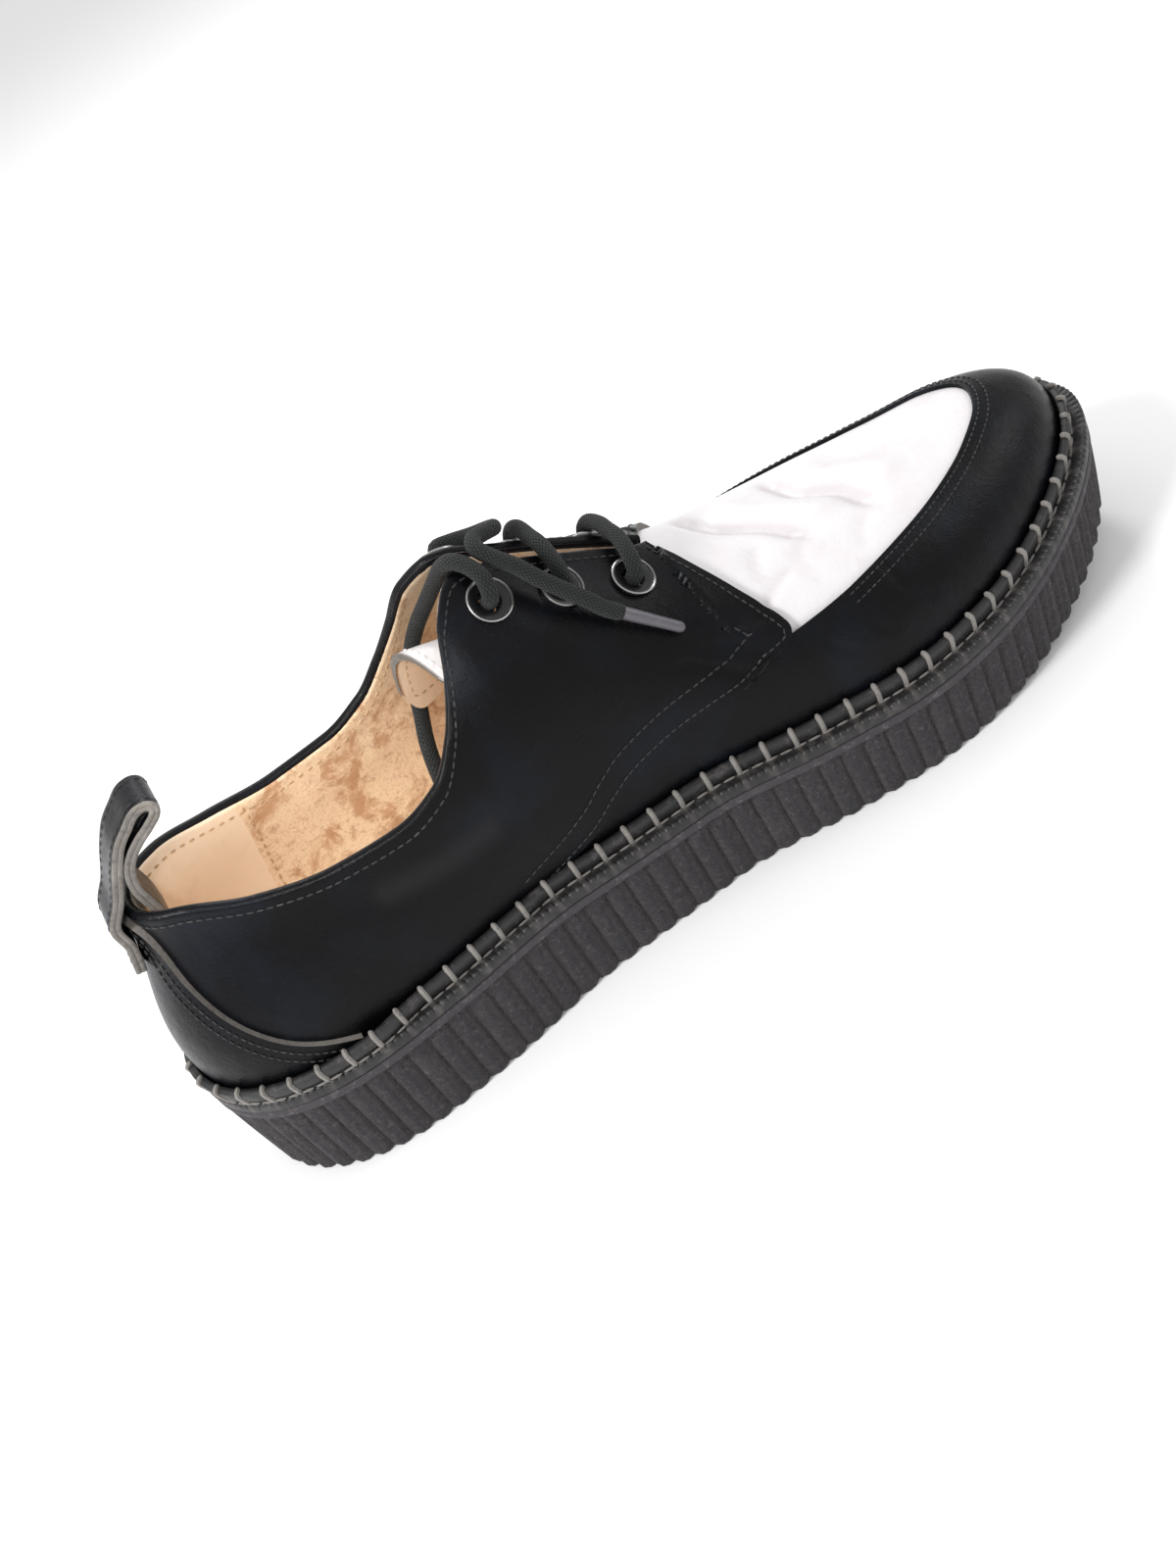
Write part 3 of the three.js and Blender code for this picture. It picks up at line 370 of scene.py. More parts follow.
# Mesh making.
def laid(columns, rows, place, material=0, turned=False, soil_and_shade=None, rough=None, scale=(1, 1)):
    """A grid laid on a surface: place(u, v) gives points in millimetres. The two mark functions give marks
    that the materials read: dirt and wear together with painted shade along the white vamp's creases, and
    roughness. The UV map is u and v times scale."""
    bm = bmesh.new()
    bmesh.ops.create_grid(bm, x_segments=columns, y_segments=rows, size=0.5)
    flat = np.array([vert.co[:2] for vert in bm.verts]) + 0.5
    points = place(flat[:, 0], flat[:, 1])
    uv_map = bm.loops.layers.uv.new("UVMap")
    for vert, point in zip(bm.verts, points * MM):
        vert.co = point
    for name, mark in (("soil_and_shade", soil_and_shade), ("rough", rough)):
        layer = bm.verts.layers.float.new(name)
        if mark:
            for vert, amount in zip(bm.verts, mark(flat[:, 0], flat[:, 1], points)):
                vert[layer] = amount
    spots = flat * scale
    for face in bm.faces:
        face.material_index = material
        face.smooth = True
        for loop in face.loops:
            loop[uv_map].uv = spots[loop.vert.index]
    if turned:
        bmesh.ops.reverse_faces(bm, faces=bm.faces)
    return bm


WELD_DISTANCE = 0.00002
SHARP_ANGLE = math.radians(50)


def add_piece(name, parts, materials, nodes=()):
    """Joins the parts into one object that rides on the shoe and stands for the CAD nodes named."""
    bm = bmesh.new()
    for part in parts:
        spare = bpy.data.meshes.new("spare")
        part.to_mesh(spare)
        part.free()
        bm.from_mesh(spare)
        bpy.data.meshes.remove(spare)
    bmesh.ops.remove_doubles(bm, verts=bm.verts, dist=WELD_DISTANCE)
    mesh = bpy.data.meshes.new(name)
    bm.to_mesh(mesh)
    bm.free()
    mesh.set_sharp_from_angle(angle=SHARP_ANGLE)
    piece = bpy.data.objects.new(name, mesh)
    for material in materials:
        mesh.materials.append(material)
    bpy.context.scene.collection.objects.link(piece)
    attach(piece, "root")
    if nodes:
        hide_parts(*nodes)
    return piece


def smooth_path(points, count):
    """Evenly spaced points on a centripetal curve through the given ones."""
    points = np.array(points, float)
    padded = np.vstack([2 * points[0] - points[1], points, 2 * points[-1] - points[-2]])
    found = []
    for p0, p1, p2, p3 in zip(padded, padded[1:], padded[2:], padded[3:]):
        t0 = 0.0
        t1 = t0 + max(np.linalg.norm(p1 - p0), 1e-6) ** 0.5
        t2 = t1 + max(np.linalg.norm(p2 - p1), 1e-6) ** 0.5
        t3 = t2 + max(np.linalg.norm(p3 - p2), 1e-6) ** 0.5
        t = np.linspace(t1, t2, 24, endpoint=False)[:, None]
        a1 = (t1 - t) / (t1 - t0) * p0 + (t - t0) / (t1 - t0) * p1
        a2 = (t2 - t) / (t2 - t1) * p1 + (t - t1) / (t2 - t1) * p2
        a3 = (t3 - t) / (t3 - t2) * p2 + (t - t2) / (t3 - t2) * p3
        b1 = (t2 - t) / (t2 - t0) * a1 + (t - t0) / (t2 - t0) * a2
        b2 = (t3 - t) / (t3 - t1) * a2 + (t - t1) / (t3 - t1) * a3
        found.append((t2 - t) / (t2 - t1) * b1 + (t - t1) / (t2 - t1) * b2)
    return evenly(np.vstack(found + [points[-1:]]), count)


def distances_along(points):
    return np.concatenate([[0], np.cumsum(np.linalg.norm(np.diff(points, axis=0), axis=1))])


def between(at, steps, values):
    """The values at a distance along a path: steps holds the distance of each of their rows."""
    return np.stack([np.interp(at, steps, values[:, i]) for i in range(3)], axis=-1)


def evenly(points, count):
    steps = distances_along(points)
    return between(np.linspace(0, steps[-1], count), steps, points)


def path_length(points):
    return float(np.linalg.norm(np.diff(points, axis=0), axis=1).sum())


def frames_along(path):
    """Two directions across a path at each of its points, turned as little as can be."""
    tangents = unit(np.gradient(path, axis=0))
    side = unit(np.cross(tangents[0], [0.31, 0.52, 0.79]))
    sides = []
    for tangent in tangents:
        side = unit(side - tangent * (side @ tangent))
        sides.append(side)
    sides = np.array(sides)
    return sides, np.cross(tangents, sides)


def tube(path, radii, sides=12, material=0):
    """A round tube along a path, closed by its first and last radii, which may be zero."""
    across, over = frames_along(path)
    radii = np.broadcast_to(np.asarray(radii, float), (len(path),))

    def place(u, v):
        i = np.rint(v * (len(path) - 1)).astype(int)
        turn = FULL_TURN * u
        return path[i] + radii[i][:, None] * (
            across[i] * np.cos(turn)[:, None] + over[i] * np.sin(turn)[:, None])
    return laid(sides, len(path) - 1, place, material, scale=(FULL_TURN * radii.max(), path_length(path)))


def round_ends(path, radius, rings=4):
    """The path and its radii with a half-round cap at each end."""
    first, last = unit(path[0] - path[1]), unit(path[-1] - path[-2])
    turns = np.linspace(0, math.pi / 2, rings + 1)[1:]
    start = [path[0] + first * radius * math.sin(t) for t in turns[::-1]]
    end = [path[-1] + last * radius * math.sin(t) for t in turns]
    caps = radius * np.cos(turns)
    caps[-1] = 0
    return np.vstack([start, path, end]), np.concatenate([caps[::-1], np.full(len(path), radius), caps])


STITCH_SHARE = 0.78
STITCH_SUNK = 0.25


def stitches(path, normals, pitch, width, share=STITCH_SHARE, material=0):
    """A row of separate stitches along a path on a surface. Each is a small rounded bar that fills a share of
    the pitch and is partly sunk."""
    steps = distances_along(path)
    count = max(int(steps[-1] / pitch), 1)
    bm = bmesh.new()
    bm.loops.layers.uv.new("UVMap")
    for name in ("soil_and_shade", "rough"):
        bm.verts.layers.float.new(name)
    for at in (np.arange(count) + 0.5) * steps[-1] / count:
        centre = between(at, steps, path)
        along = unit(between(at + pitch * 0.3, steps, path) - between(at - pitch * 0.3, steps, path))
        normal = unit(between(at, steps, normals))
        normal = unit(normal - along * (normal @ along))
        centre = centre + normal * width * (0.5 - STITCH_SUNK)
        across = np.cross(normal, along)
        matrix = Matrix.Identity(4)
        for i, (axis, size) in enumerate(((across, width), (normal, width * 0.8), (along, pitch * share))):
            for row in range(3):
                matrix[row][i] = axis[row] * size * MM
        matrix.translation = Vector(centre * MM)
        bmesh.ops.create_uvsphere(bm, u_segments=6, v_segments=5, radius=0.5, matrix=matrix)
    for face in bm.faces:
        face.smooth = True
        face.material_index = material
    return bm


def surface_row(angles, levels, offset, pitch, width, material):
    """A row of stitches on the upper's worn face, along angles and levels."""
    path = creased(angles, levels, offset)
    return stitches(path, upper_normal(angles, levels), pitch, width, STITCH_SHARE, material)


HOLE_DEPTH = 0.006
HOLE_SPARE = 1.15


def without_eyelet_holes(bm):
    """Opens the lace holes: the faces within a hole's radius go, and the eyelet's flange hides the rest."""
    holes = [(Vector(seat["centre"] * MM), Vector(seat["out"])) for seat in SEATS]
    radius = EYELET_HOLE * HOLE_SPARE * MM
    gone = []
    for face in bm.faces:
        middle = face.calc_center_median()
        for centre, out in holes:
            away = middle - centre
            if abs(away.dot(out)) < HOLE_DEPTH and (away - out * away.dot(out)).length < radius:
                gone.append(face)
                break
    bmesh.ops.delete(bm, geom=gone, context="FACES")
    return bm


# Creases: depth and half width in millimetres, then points of (side and foot share, level).
CREASES = (
    (2.6, 3.0, ((0.760, 0.76), (0.772, 0.92), (-0.781, 0.995), (-0.802, 0.89), (-0.799, 0.70))),
    (-1.3, 5.0, ((0.795, 0.78), (0.810, 0.93), (-0.822, 0.995), (-0.845, 0.89), (-0.850, 0.74))),
    (2.3, 2.8, ((0.655, 0.76), (0.665, 0.92), (-0.677, 0.995), (-0.713, 0.89), (-0.732, 0.74))),
    (-1.1, 5.0, ((0.700, 0.78), (0.712, 0.93), (-0.728, 0.995), (-0.757, 0.89), (-0.768, 0.76))),
    (0.8, 2.0, ((-0.655, 0.62), (-0.668, 0.72), (-0.685, 0.82))),
    (0.6, 1.8, ((-0.750, 0.56), (-0.762, 0.64), (-0.785, 0.70))),
    (0.5, 1.8, ((-0.69, 0.52), (-0.70, 0.66), (-0.72, 0.74))),
    (0.8, 1.6, ((-0.62, 0.50), (-0.66, 0.60), (-0.69, 0.66))),
    (0.7, 1.6, ((-0.625, 0.46), (-0.605, 0.50), (-0.585, 0.55))),
    (0.6, 1.5, ((-0.600, 0.36), (-0.590, 0.44), (-0.560, 0.52))),
    (0.55, 1.5, ((-0.580, 0.33), (-0.565, 0.42), (-0.540, 0.50))),
    (0.35, 1.2, ((-0.66, 0.22), (-0.65, 0.32), (-0.66, 0.40))),
    (0.30, 1.1, ((-0.70, 0.20), (-0.69, 0.30), (-0.70, 0.42))),
    (0.30, 1.1, ((-0.75, 0.22), (-0.735, 0.34), (-0.74, 0.46))),
    (0.35, 1.2, ((0.66, 0.22), (0.65, 0.32), (0.66, 0.40))),
    (0.30, 1.1, ((0.70, 0.20), (0.69, 0.30), (0.70, 0.42))),
    (0.45, 1.4, ((0.625, 0.46), (0.605, 0.50), (0.585, 0.55))),
    (0.40, 1.2, ((0.600, 0.36), (0.590, 0.44), (0.560, 0.52))),
    (0.6, 6.0, ((-0.20, 0.72), (-0.28, 0.66), (-0.36, 0.55))),
    (0.6, 6.0, ((0.20, 0.72), (0.28, 0.66), (0.36, 0.55))),
)


def crease_lines():
    lines = []
    for depth, width, marks in CREASES:
        feet = np.array([mark[0] for mark in marks])
        corners = upper_point(np.sign(feet) * angle_at(np.abs(feet)), np.array([mark[1] for mark in marks]))
        lines.append((depth, width, smooth_path(corners, 40)))
    return lines


CREASE_LINES = crease_lines()


def crease_depth(points):
    """How far the creases press a point of the upper in, in millimetres."""
    depth = np.zeros(len(points))
    for deep, width, line in CREASE_LINES:
        near = np.full(len(points), 1e9)
        share = np.zeros(len(points))
        for i, mark in enumerate(line):
            away = np.linalg.norm(points - mark, axis=1)
            share = np.where(away < near, i / (len(line) - 1), share)
            near = np.minimum(near, away)
        ends = np.clip(6 * np.minimum(share, 1 - share) + 0.25, 0, 1)
        depth += deep * ends * np.exp(-(near / width) ** 2)
    return depth


def creased(angle, level, offset):
    """A point of the worn upper: set off from its smooth face and pressed in along the creases."""
    base = upper_point(angle, level)
    lift = np.asarray(offset, float) - crease_depth(base)
    return base + upper_normal(angle, level) * np.broadcast_to(lift, base.shape[:1])[:, None]


# Materials.
class Finish:
    """A procedural material under way: its node tree, its main shader and the coordinates it reads."""

    def __init__(self, name, colour, roughness, **sockets):
        self.material = bpy.data.materials.new(name)
        self.material.use_nodes = True
        self.tree = self.material.node_tree
        self.shader = self.tree.nodes["Principled BSDF"]
        self.shader.inputs["Base Color"].default_value = (*colour, 1)
        self.shader.inputs["Roughness"].default_value = roughness
        for socket, value in sockets.items():
            self.shader.inputs[socket.replace("_", " ")].default_value = value
        self.place = self.add("ShaderNodeTexCoord")
        self.colour = None
        self.plain = (*colour, 1)
        self.bump = None

    def add(self, kind, **settings):
        node = self.tree.nodes.new(kind)
        for key, value in settings.items():
            if key in node.inputs:
                node.inputs[key].default_value = value
            else:
                setattr(node, key, value)
        return node

    def join(self, output, socket):
        self.tree.links.new(output, socket)

    def noise(self, size_mm, detail=3.0, rough=0.55, stretch=(1, 1, 1), distortion=0.0):
        """Noise whose features are about size_mm across."""
        mapping = self.add("ShaderNodeMapping")
        mapping.inputs["Scale"].default_value = [1 / (size_mm * MM) / s for s in stretch]
        self.join(self.place.outputs["Object"], mapping.inputs["Vector"])
        node = self.add("ShaderNodeTexNoise", Scale=1.0, Detail=detail, Roughness=rough,
                        Distortion=distortion)
        self.join(mapping.outputs["Vector"], node.inputs["Vector"])
        return node.outputs["Fac"]

    def cells(self, size_mm):
        """Height that falls to 0 at the borders of cells about size_mm across."""
        mapping = self.add("ShaderNodeMapping")
        mapping.inputs["Scale"].default_value = [1 / (size_mm * MM)] * 3
        self.join(self.place.outputs["Object"], mapping.inputs["Vector"])
        node = self.add("ShaderNodeTexVoronoi", feature="DISTANCE_TO_EDGE", Scale=1.0,
                        Randomness=1.0)
        self.join(mapping.outputs["Vector"], node.inputs["Vector"])
        return node.outputs["Distance"]

    def ramp(self, value, low, high):
        """0 below low, 1 above high."""
        node = self.add("ShaderNodeMapRange", interpolation_type="SMOOTHSTEP")
        node.inputs["From Min"].default_value = low
        node.inputs["From Max"].default_value = high
        self.join(value, node.inputs["Value"])
        return node.outputs["Result"]

    def times(self, a, b):
        node = self.add("ShaderNodeMath", operation="MULTIPLY")
        self.join(a, node.inputs[0])
        if isinstance(b, (int, float)):
            node.inputs[1].default_value = b
        else:
            self.join(b, node.inputs[1])
        return node.outputs[0]

    def attribute(self, name):
        return self.add("ShaderNodeAttribute", attribute_name=name).outputs["Fac"]

    def tint(self, amount, colour, strength=1.0):
        """Mixes a colour in where amount is high."""
        node = self.add("ShaderNodeMix", data_type="RGBA", clamp_factor=True)
        self.join(self.times(amount, strength), node.inputs["Factor"])
        if self.colour is None:
            node.inputs[6].default_value = self.plain
        else:
            self.join(self.colour, node.inputs[6])
        node.inputs[7].default_value = (*colour, 1)
        self.colour = node.outputs[2]
        self.join(self.colour, self.shader.inputs["Base Color"])

    def patches(self, noise, low, high, colour, strength=1.0):
        """Mixes a colour in over patches: noise is what self.noise takes, low and high its edges."""
        self.tint(self.ramp(self.noise(*noise), low, high), colour, strength)

    def gloss(self, amount, low, high):
        """Roughness that runs from low to high with amount."""
        node = self.add("ShaderNodeMapRange")
        node.inputs["To Min"].default_value = low
        node.inputs["To Max"].default_value = high
        self.join(amount, node.inputs["Value"])
        self.join(node.outputs["Result"], self.shader.inputs["Roughness"])

    def raise_by(self, height, depth_mm):
        """Bumps the surface by depth_mm where height is 1."""
        node = self.add("ShaderNodeBump", Strength=1.0, Distance=depth_mm * MM)
        self.join(height, node.inputs["Height"])
        if self.bump is not None:
            self.join(self.bump, node.inputs["Normal"])
        self.bump = node.outputs["Normal"]
        self.join(self.bump, self.shader.inputs["Normal"])


def black_leather(colours):
    finish = Finish("black_leather", colours.black_leather, 0.36, Coat_Weight=0.03, Coat_Roughness=0.25,
                    Specular_IOR_Level=0.12)
    finish.patches((26, 4), 0.45, 0.75, (0.005, 0.006, 0.010))
    finish.patches((3.2, 6, 0.7, (1, 1, 2.4)), 0.66, 0.80, (0.07, 0.07, 0.075), 0.25)
    finish.tint(finish.ramp(finish.attribute("soil_and_shade"), 0.15, 0.9), (0.040, 0.038, 0.040), 0.5)
    finish.gloss(finish.noise(9, 6, 0.65), 0.18, 0.42)
    finish.raise_by(finish.cells(0.85), 0.10)
    finish.raise_by(finish.noise(5.5, 5, 0.6), 0.30)
    finish.raise_by(finish.noise(0.5, 3, 0.65), 0.07)
    return finish.material


def white_leather(colours):
    finish = Finish("white_leather", colours.white_leather, 0.38, Coat_Weight=0.08, Coat_Roughness=0.25,
                    Specular_IOR_Level=0.4)
    finish.patches((17, 4, 0.6), 0.5, 0.78, (0.60, 0.54, 0.56), 0.30)
    # Painted shade: the crease mark that the vamp carries darkens the white leather along its creases.
    finish.tint(finish.ramp(finish.attribute("soil_and_shade"), 0.10, 1.0), (0.46, 0.39, 0.41), 0.30)
    finish.patches((1.1, 5, 0.7), 0.70, 0.80, (0.42, 0.38, 0.36), 0.25)
    finish.gloss(finish.noise(8, 4), 0.30, 0.50)
    finish.raise_by(finish.cells(0.8), 0.05)
    finish.raise_by(finish.noise(7, 5, 0.55), 0.40)
    return finish.material


def lining_leather(colours):
    finish = Finish("lining_leather", colours.lining, 0.72, Sheen_Weight=0.12, Sheen_Roughness=0.5)
    finish.patches((30, 3), 0.5, 0.75, (1.0, 0.86, 0.55), 0.5)
    finish.tint(finish.ramp(finish.noise(13, 8, 0.72, distortion=0.6), 0.47, 0.62), (0.60, 0.33, 0.17), 0.9)
    finish.patches((4.5, 8, 0.75), 0.52, 0.66, (0.48, 0.25, 0.12), 0.6)
    finish.patches((0.9, 5, 0.75), 0.50, 0.68, (0.50, 0.28, 0.15), 0.5)
    finish.gloss(finish.noise(6, 4), 0.55, 0.85)
    finish.raise_by(finish.noise(2.4, 7, 0.72), 0.45)
    finish.raise_by(finish.cells(1.0), 0.04)
    return finish.material


def heel_lining(colours):
    finish = Finish("heel_lining", colours.heel_lining, 0.65, Sheen_Weight=0.15, Sheen_Roughness=0.5)
    finish.patches((14, 5, 0.6), 0.48, 0.75, (0.72, 0.50, 0.33), 0.4)
    finish.patches((2.0, 5, 0.7), 0.68, 0.80, (0.50, 0.32, 0.20), 0.3)
    finish.raise_by(finish.noise(1.6, 4, 0.6), 0.10)
    return finish.material


def raw_edge(colours):
    finish = Finish("raw_edge", colours.raw_edge, 0.85)
    finish.patches((1.3, 5, 0.7), 0.48, 0.70, (0.07, 0.06, 0.055), 0.7)
    finish.patches((5, 3), 0.55, 0.75, (0.30, 0.27, 0.24), 0.5)
    finish.raise_by(finish.noise(0.6, 4, 0.7), 0.2)
    return finish.material


def sole_rubber(colours):
    finish = Finish("sole_rubber", colours.rubber, 0.72, Specular_IOR_Level=0.4)
    finish.patches((1.6, 6, 0.75), 0.52, 0.70, (0.17, 0.145, 0.15), 0.65)
    finish.patches((13, 5, 0.6), 0.50, 0.78, (0.075, 0.066, 0.070), 0.6)
    finish.patches((2.6, 7, 0.8), 0.70, 0.78, (0.33, 0.27, 0.22), 0.45)
    finish.tint(finish.attribute("soil_and_shade"), (0.17, 0.15, 0.145), 0.75)
    finish.gloss(finish.noise(5, 5), 0.50, 0.85)
    rough = finish.times(finish.attribute("rough"), finish.noise(1.5, 5, 0.65, (1, 1, 1.2), distortion=1.6))
    finish.raise_by(rough, 2.2)
    finish.raise_by(finish.noise(0.45, 3), 0.10)
    return finish.material


def welt_leather(colours):
    finish = Finish("welt_leather", colours.welt, 0.5, Coat_Weight=0.08, Coat_Roughness=0.4)
    finish.patches((4, 5, 0.65), 0.50, 0.75, (0.09, 0.08, 0.078), 0.6)
    finish.tint(finish.ramp(finish.attribute("soil_and_shade"), 0.1, 0.9), (0.20, 0.18, 0.165), 0.7)
    finish.gloss(finish.noise(3, 4), 0.35, 0.7)
    finish.raise_by(finish.noise(1.0, 4, 0.6), 0.12)
    return finish.material


def thread(name, colour, worn):
    finish = Finish(name, colour, 0.8, Sheen_Weight=0.2)
    finish.patches((2.5, 4, 0.7), 0.5, 0.72, worn, 0.7)
    finish.raise_by(finish.noise(0.25, 2), 0.08)
    return finish.material


WEAVE_TURN = 0.62


def lace_cord(colours):
    """A woven cord: slanting ribs both ways round, read from the tube's own map."""
    finish = Finish("lace_cord", colours.lace, 0.92, Sheen_Weight=0.10, Sheen_Roughness=0.45,
                    Specular_IOR_Level=0.2)
    heights = []
    for turn in (WEAVE_TURN, -WEAVE_TURN):
        mapping = finish.add("ShaderNodeMapping")
        mapping.inputs["Rotation"].default_value = (0, 0, turn)
        finish.join(finish.place.outputs["UV"], mapping.inputs["Vector"])
        wave = finish.add("ShaderNodeTexWave", wave_type="BANDS", Scale=0.42, Distortion=1.4, Detail=2.0)
        finish.join(mapping.outputs["Vector"], wave.inputs["Vector"])
        heights.append(wave.outputs["Fac"])
    weave = finish.times(heights[0], heights[1])
    finish.tint(finish.ramp(weave, 0.05, 0.75), (0.038, 0.041, 0.040), 0.7)
    finish.patches((3.0, 4, 0.7), 0.60, 0.78, (0.07, 0.073, 0.07), 0.4)
    finish.raise_by(weave, 0.45)
    finish.raise_by(finish.noise(0.35, 3, 0.7), 0.12)
    return finish.material


def eyelet_metal(colours):
    finish = Finish("eyelet_metal", colours.metal, 0.28, Metallic=1.0)
    finish.patches((1.5, 5, 0.7), 0.55, 0.75, (0.40, 0.37, 0.34), 0.5)
    finish.gloss(finish.noise(1.2, 4), 0.2, 0.45)
    finish.raise_by(finish.noise(0.7, 3), 0.03)
    return finish.material


def eyelet_enamel():
    finish = Finish("eyelet_enamel", (0.006, 0.006, 0.007), 0.3)
    finish.patches((0.8, 4, 0.7), 0.66, 0.78, (0.10, 0.095, 0.09), 0.4)
    finish.raise_by(finish.noise(0.6, 3), 0.03)
    return finish.material


def aglet_plastic(colours):
    finish = Finish("aglet_plastic", colours.aglet, 0.35, Coat_Weight=0.2)
    finish.patches((2.2, 4), 0.5, 0.75, (0.17, 0.155, 0.17), 0.6)
    finish.gloss(finish.noise(1.5, 4), 0.25, 0.5)
    finish.raise_by(finish.noise(1.2, 3), 0.06)
    return finish.material


def floor_paper():
    finish = Finish("floor_paper", (0.93, 0.93, 0.93), 0.95, Specular_IOR_Level=0.1)
    finish.tint(finish.noise(120, 2), (0.91, 0.91, 0.915), 0.5)
    return finish.material


FINISHES = {}


def finishes():
    """The shoe's materials, made once from the colours in the scene's settings."""
    if not FINISHES:
        colours = bpy.context.scene.shoe_colours
        FINISHES.update(
            black=black_leather(colours), white=white_leather(colours), lining=lining_leather(colours),
            heel=heel_lining(colours), raw=raw_edge(colours), rubber=sole_rubber(colours),
            welt=welt_leather(colours), lace=lace_cord(colours), metal=eyelet_metal(colours),
            enamel=eyelet_enamel(), aglet=aglet_plastic(colours),
            dark_thread=thread("dark_thread", (0.012, 0.012, 0.013), (0.07, 0.066, 0.062)),
            pale_thread=thread("pale_thread", (0.21, 0.195, 0.18), (0.07, 0.064, 0.06)),
            tan_thread=thread("tan_thread", (0.55, 0.36, 0.20), (0.30, 0.18, 0.09)),
            white_thread=thread("white_thread", (0.72, 0.70, 0.68), (0.40, 0.37, 0.35)))
    return FINISHES


def panel_materials():
    """A black panel's face, its cut edge and its thread."""
    made = finishes()
    return [made["black"], made["raw"], made["dark_thread"]]


# Lines on the upper.
def beside(angles, levels, distance):
    """The line at a distance, in millimetres, to the left of another on the upper's face."""
    here = upper_point(angles, levels)
    by_angle = (upper_point(angles + NUDGE, levels) - here) / NUDGE
    by_level = (here - upper_point(angles, levels - NUDGE)) / NUDGE
    across = np.cross(unit(np.gradient(here, axis=0)), upper_normal(angles, levels)) * distance
    aa, bb = (by_angle ** 2).sum(-1), (by_level ** 2).sum(-1)
    ab = (by_angle * by_level).sum(-1)
    wa, wb = (across * by_angle).sum(-1), (across * by_level).sum(-1)
    whole = aa * bb - ab ** 2
    return angles + (wa * bb - wb * ab) / whole, levels + (wb * aa - wa * ab) / whole


def cut_edge(columns, edge, top, bottom, material, turned=False):
    """The cut face of a panel's edge: edge(t) gives the angle and level along it."""
    def place(u, v):
        angle, level = edge(u)
        return creased(angle, level, mix(top, bottom, v))
    return laid(columns, 4, place, material, turned)


def quarter_edge(side):
    """The quarter's front edge from the welt up to the throat, as angle and level."""
    def edge(t):
        level = ROLL_LEVEL * t
        return side * angle_at(quarter_front(level)), level
    return edge


# The collar's rolled edge: its level, the panel's share where it begins, its turn, radius and centre.
ROLL_LEVEL = 0.978
ROLL_START = 0.9
ROLL_TURN = 0.97 * math.pi
ROLL_RADIUS = 1.6
ROLL_CENTRE = QUARTER_FACE - ROLL_RADIUS


# Stitch rows along the quarter's front edge: distance from it, share of the edge where each ends, and pitch.
QUARTER_ROWS = ((2.0, 1.0, 2.1), (8.2, 0.6, 2.3))
TOPLINE_ROW = 3.4
TOPLINE_PITCH = 2.4
MUDGUARD_ROWS = (1.5, 4.0)
MUDGUARD_PITCH = 1.9
COUNTER_ROWS = (2.2, 4.6)
COUNTER_PITCH = 2.0
LINING_SEAM = math.radians(45)
LINING_ROW = 4.4
LINING_PITCH = 3.0
LINING_STITCH_SHARE = 0.6


def topline_up(angle):
    return unit(upper_point(angle, 1.0) - upper_point(angle, 0.96))


def level_below_top(angle, distance):
    """The level about distance millimetres under the top."""
    return 1 - distance / np.linalg.norm(upper_point(angle, 1) - upper_point(angle, 0), axis=1)


def quarter_parts(side, sizes):
    def place(u, v):
        roll = np.clip((v - ROLL_START) / (1 - ROLL_START), 0, 1) * ROLL_TURN
        level = ROLL_LEVEL * np.minimum(v / ROLL_START, 1)
        angle = side * mix(0.001, angle_at(quarter_front(level)), u)
        face = creased(angle, level, ROLL_CENTRE + ROLL_RADIUS * np.cos(roll))
        return face + topline_up(angle) * (ROLL_RADIUS * np.sin(roll))[:, None]

    def soil_and_shade(u, v, points):
        return 0.8 * crease_depth(points) + 0.35 * smoothstep(v, 0.88, 0.95)
    panel = laid(300, 90, place, 0, turned=side > 0, soil_and_shade=soil_and_shade)
    parts = [without_eyelet_holes(panel), cut_edge(160, quarter_edge(side), QUARTER_FACE, 0.1, 1, side > 0)]
    t = np.linspace(0.03, 0.985, 300)
    angles, levels = quarter_edge(side)(t)
    edge = upper_point(angles, levels)
    for distance, stop, pitch in QUARTER_ROWS:
        row_angles, row_levels = beside(angles, levels, side * distance)
        row = upper_point(row_angles, row_levels)
        away = np.linalg.norm(row[:, None] - edge[None], axis=2).min(axis=1)
        keep = (away > 0.94 * distance) & (t < stop)
        parts.append(surface_row(row_angles[keep], row_levels[keep], QUARTER_FACE, pitch,
                                 sizes.thread_width, 2))
    ring = side * np.linspace(0.16, angle_at(0.572), 300)
    below = level_below_top(ring, TOPLINE_ROW)
    parts.append(surface_row(ring, below, QUARTER_FACE, TOPLINE_PITCH, sizes.thread_width, 2))
    return parts


def mudguard_line(t):
    start = angle_at(quarter_front(np.array(0.0)) - 0.03)
    angle = mix(start, FULL_TURN - start, t)
    return angle, mudguard_level(share_at(angle))


def mudguard_parts(sizes):
    def place(u, v):
        angle, level = mudguard_line(u)
        rolled = smoothstep(v, 0.97, 1.0)
        return creased(angle, level * v, MUDGUARD_FACE - 0.25 * rolled)
    parts = [laid(480, 44, place, 0, turned=True, soil_and_shade=lambda u, v, points: 0.8 * crease_depth(points)),
             cut_edge(480, mudguard_line, MUDGUARD_FACE - 0.25, 0.05, 0, turned=True)]
    angles, levels = mudguard_line(np.linspace(0.21, 0.79, 700))
    for distance in MUDGUARD_ROWS:
        row_angles, row_levels = beside(angles, levels, -distance)
        open_part = share_at(row_angles) > quarter_front(row_levels) + 0.004
        parts.append(surface_row(row_angles[open_part], row_levels[open_part], MUDGUARD_FACE,
                                 MUDGUARD_PITCH, sizes.thread_width * 0.9, 2))
    return parts


def counter_line(t):
    turn = mix(-COUNTER_REACH, COUNTER_REACH, t)
    return np.radians(turn), counter_level(np.abs(turn))


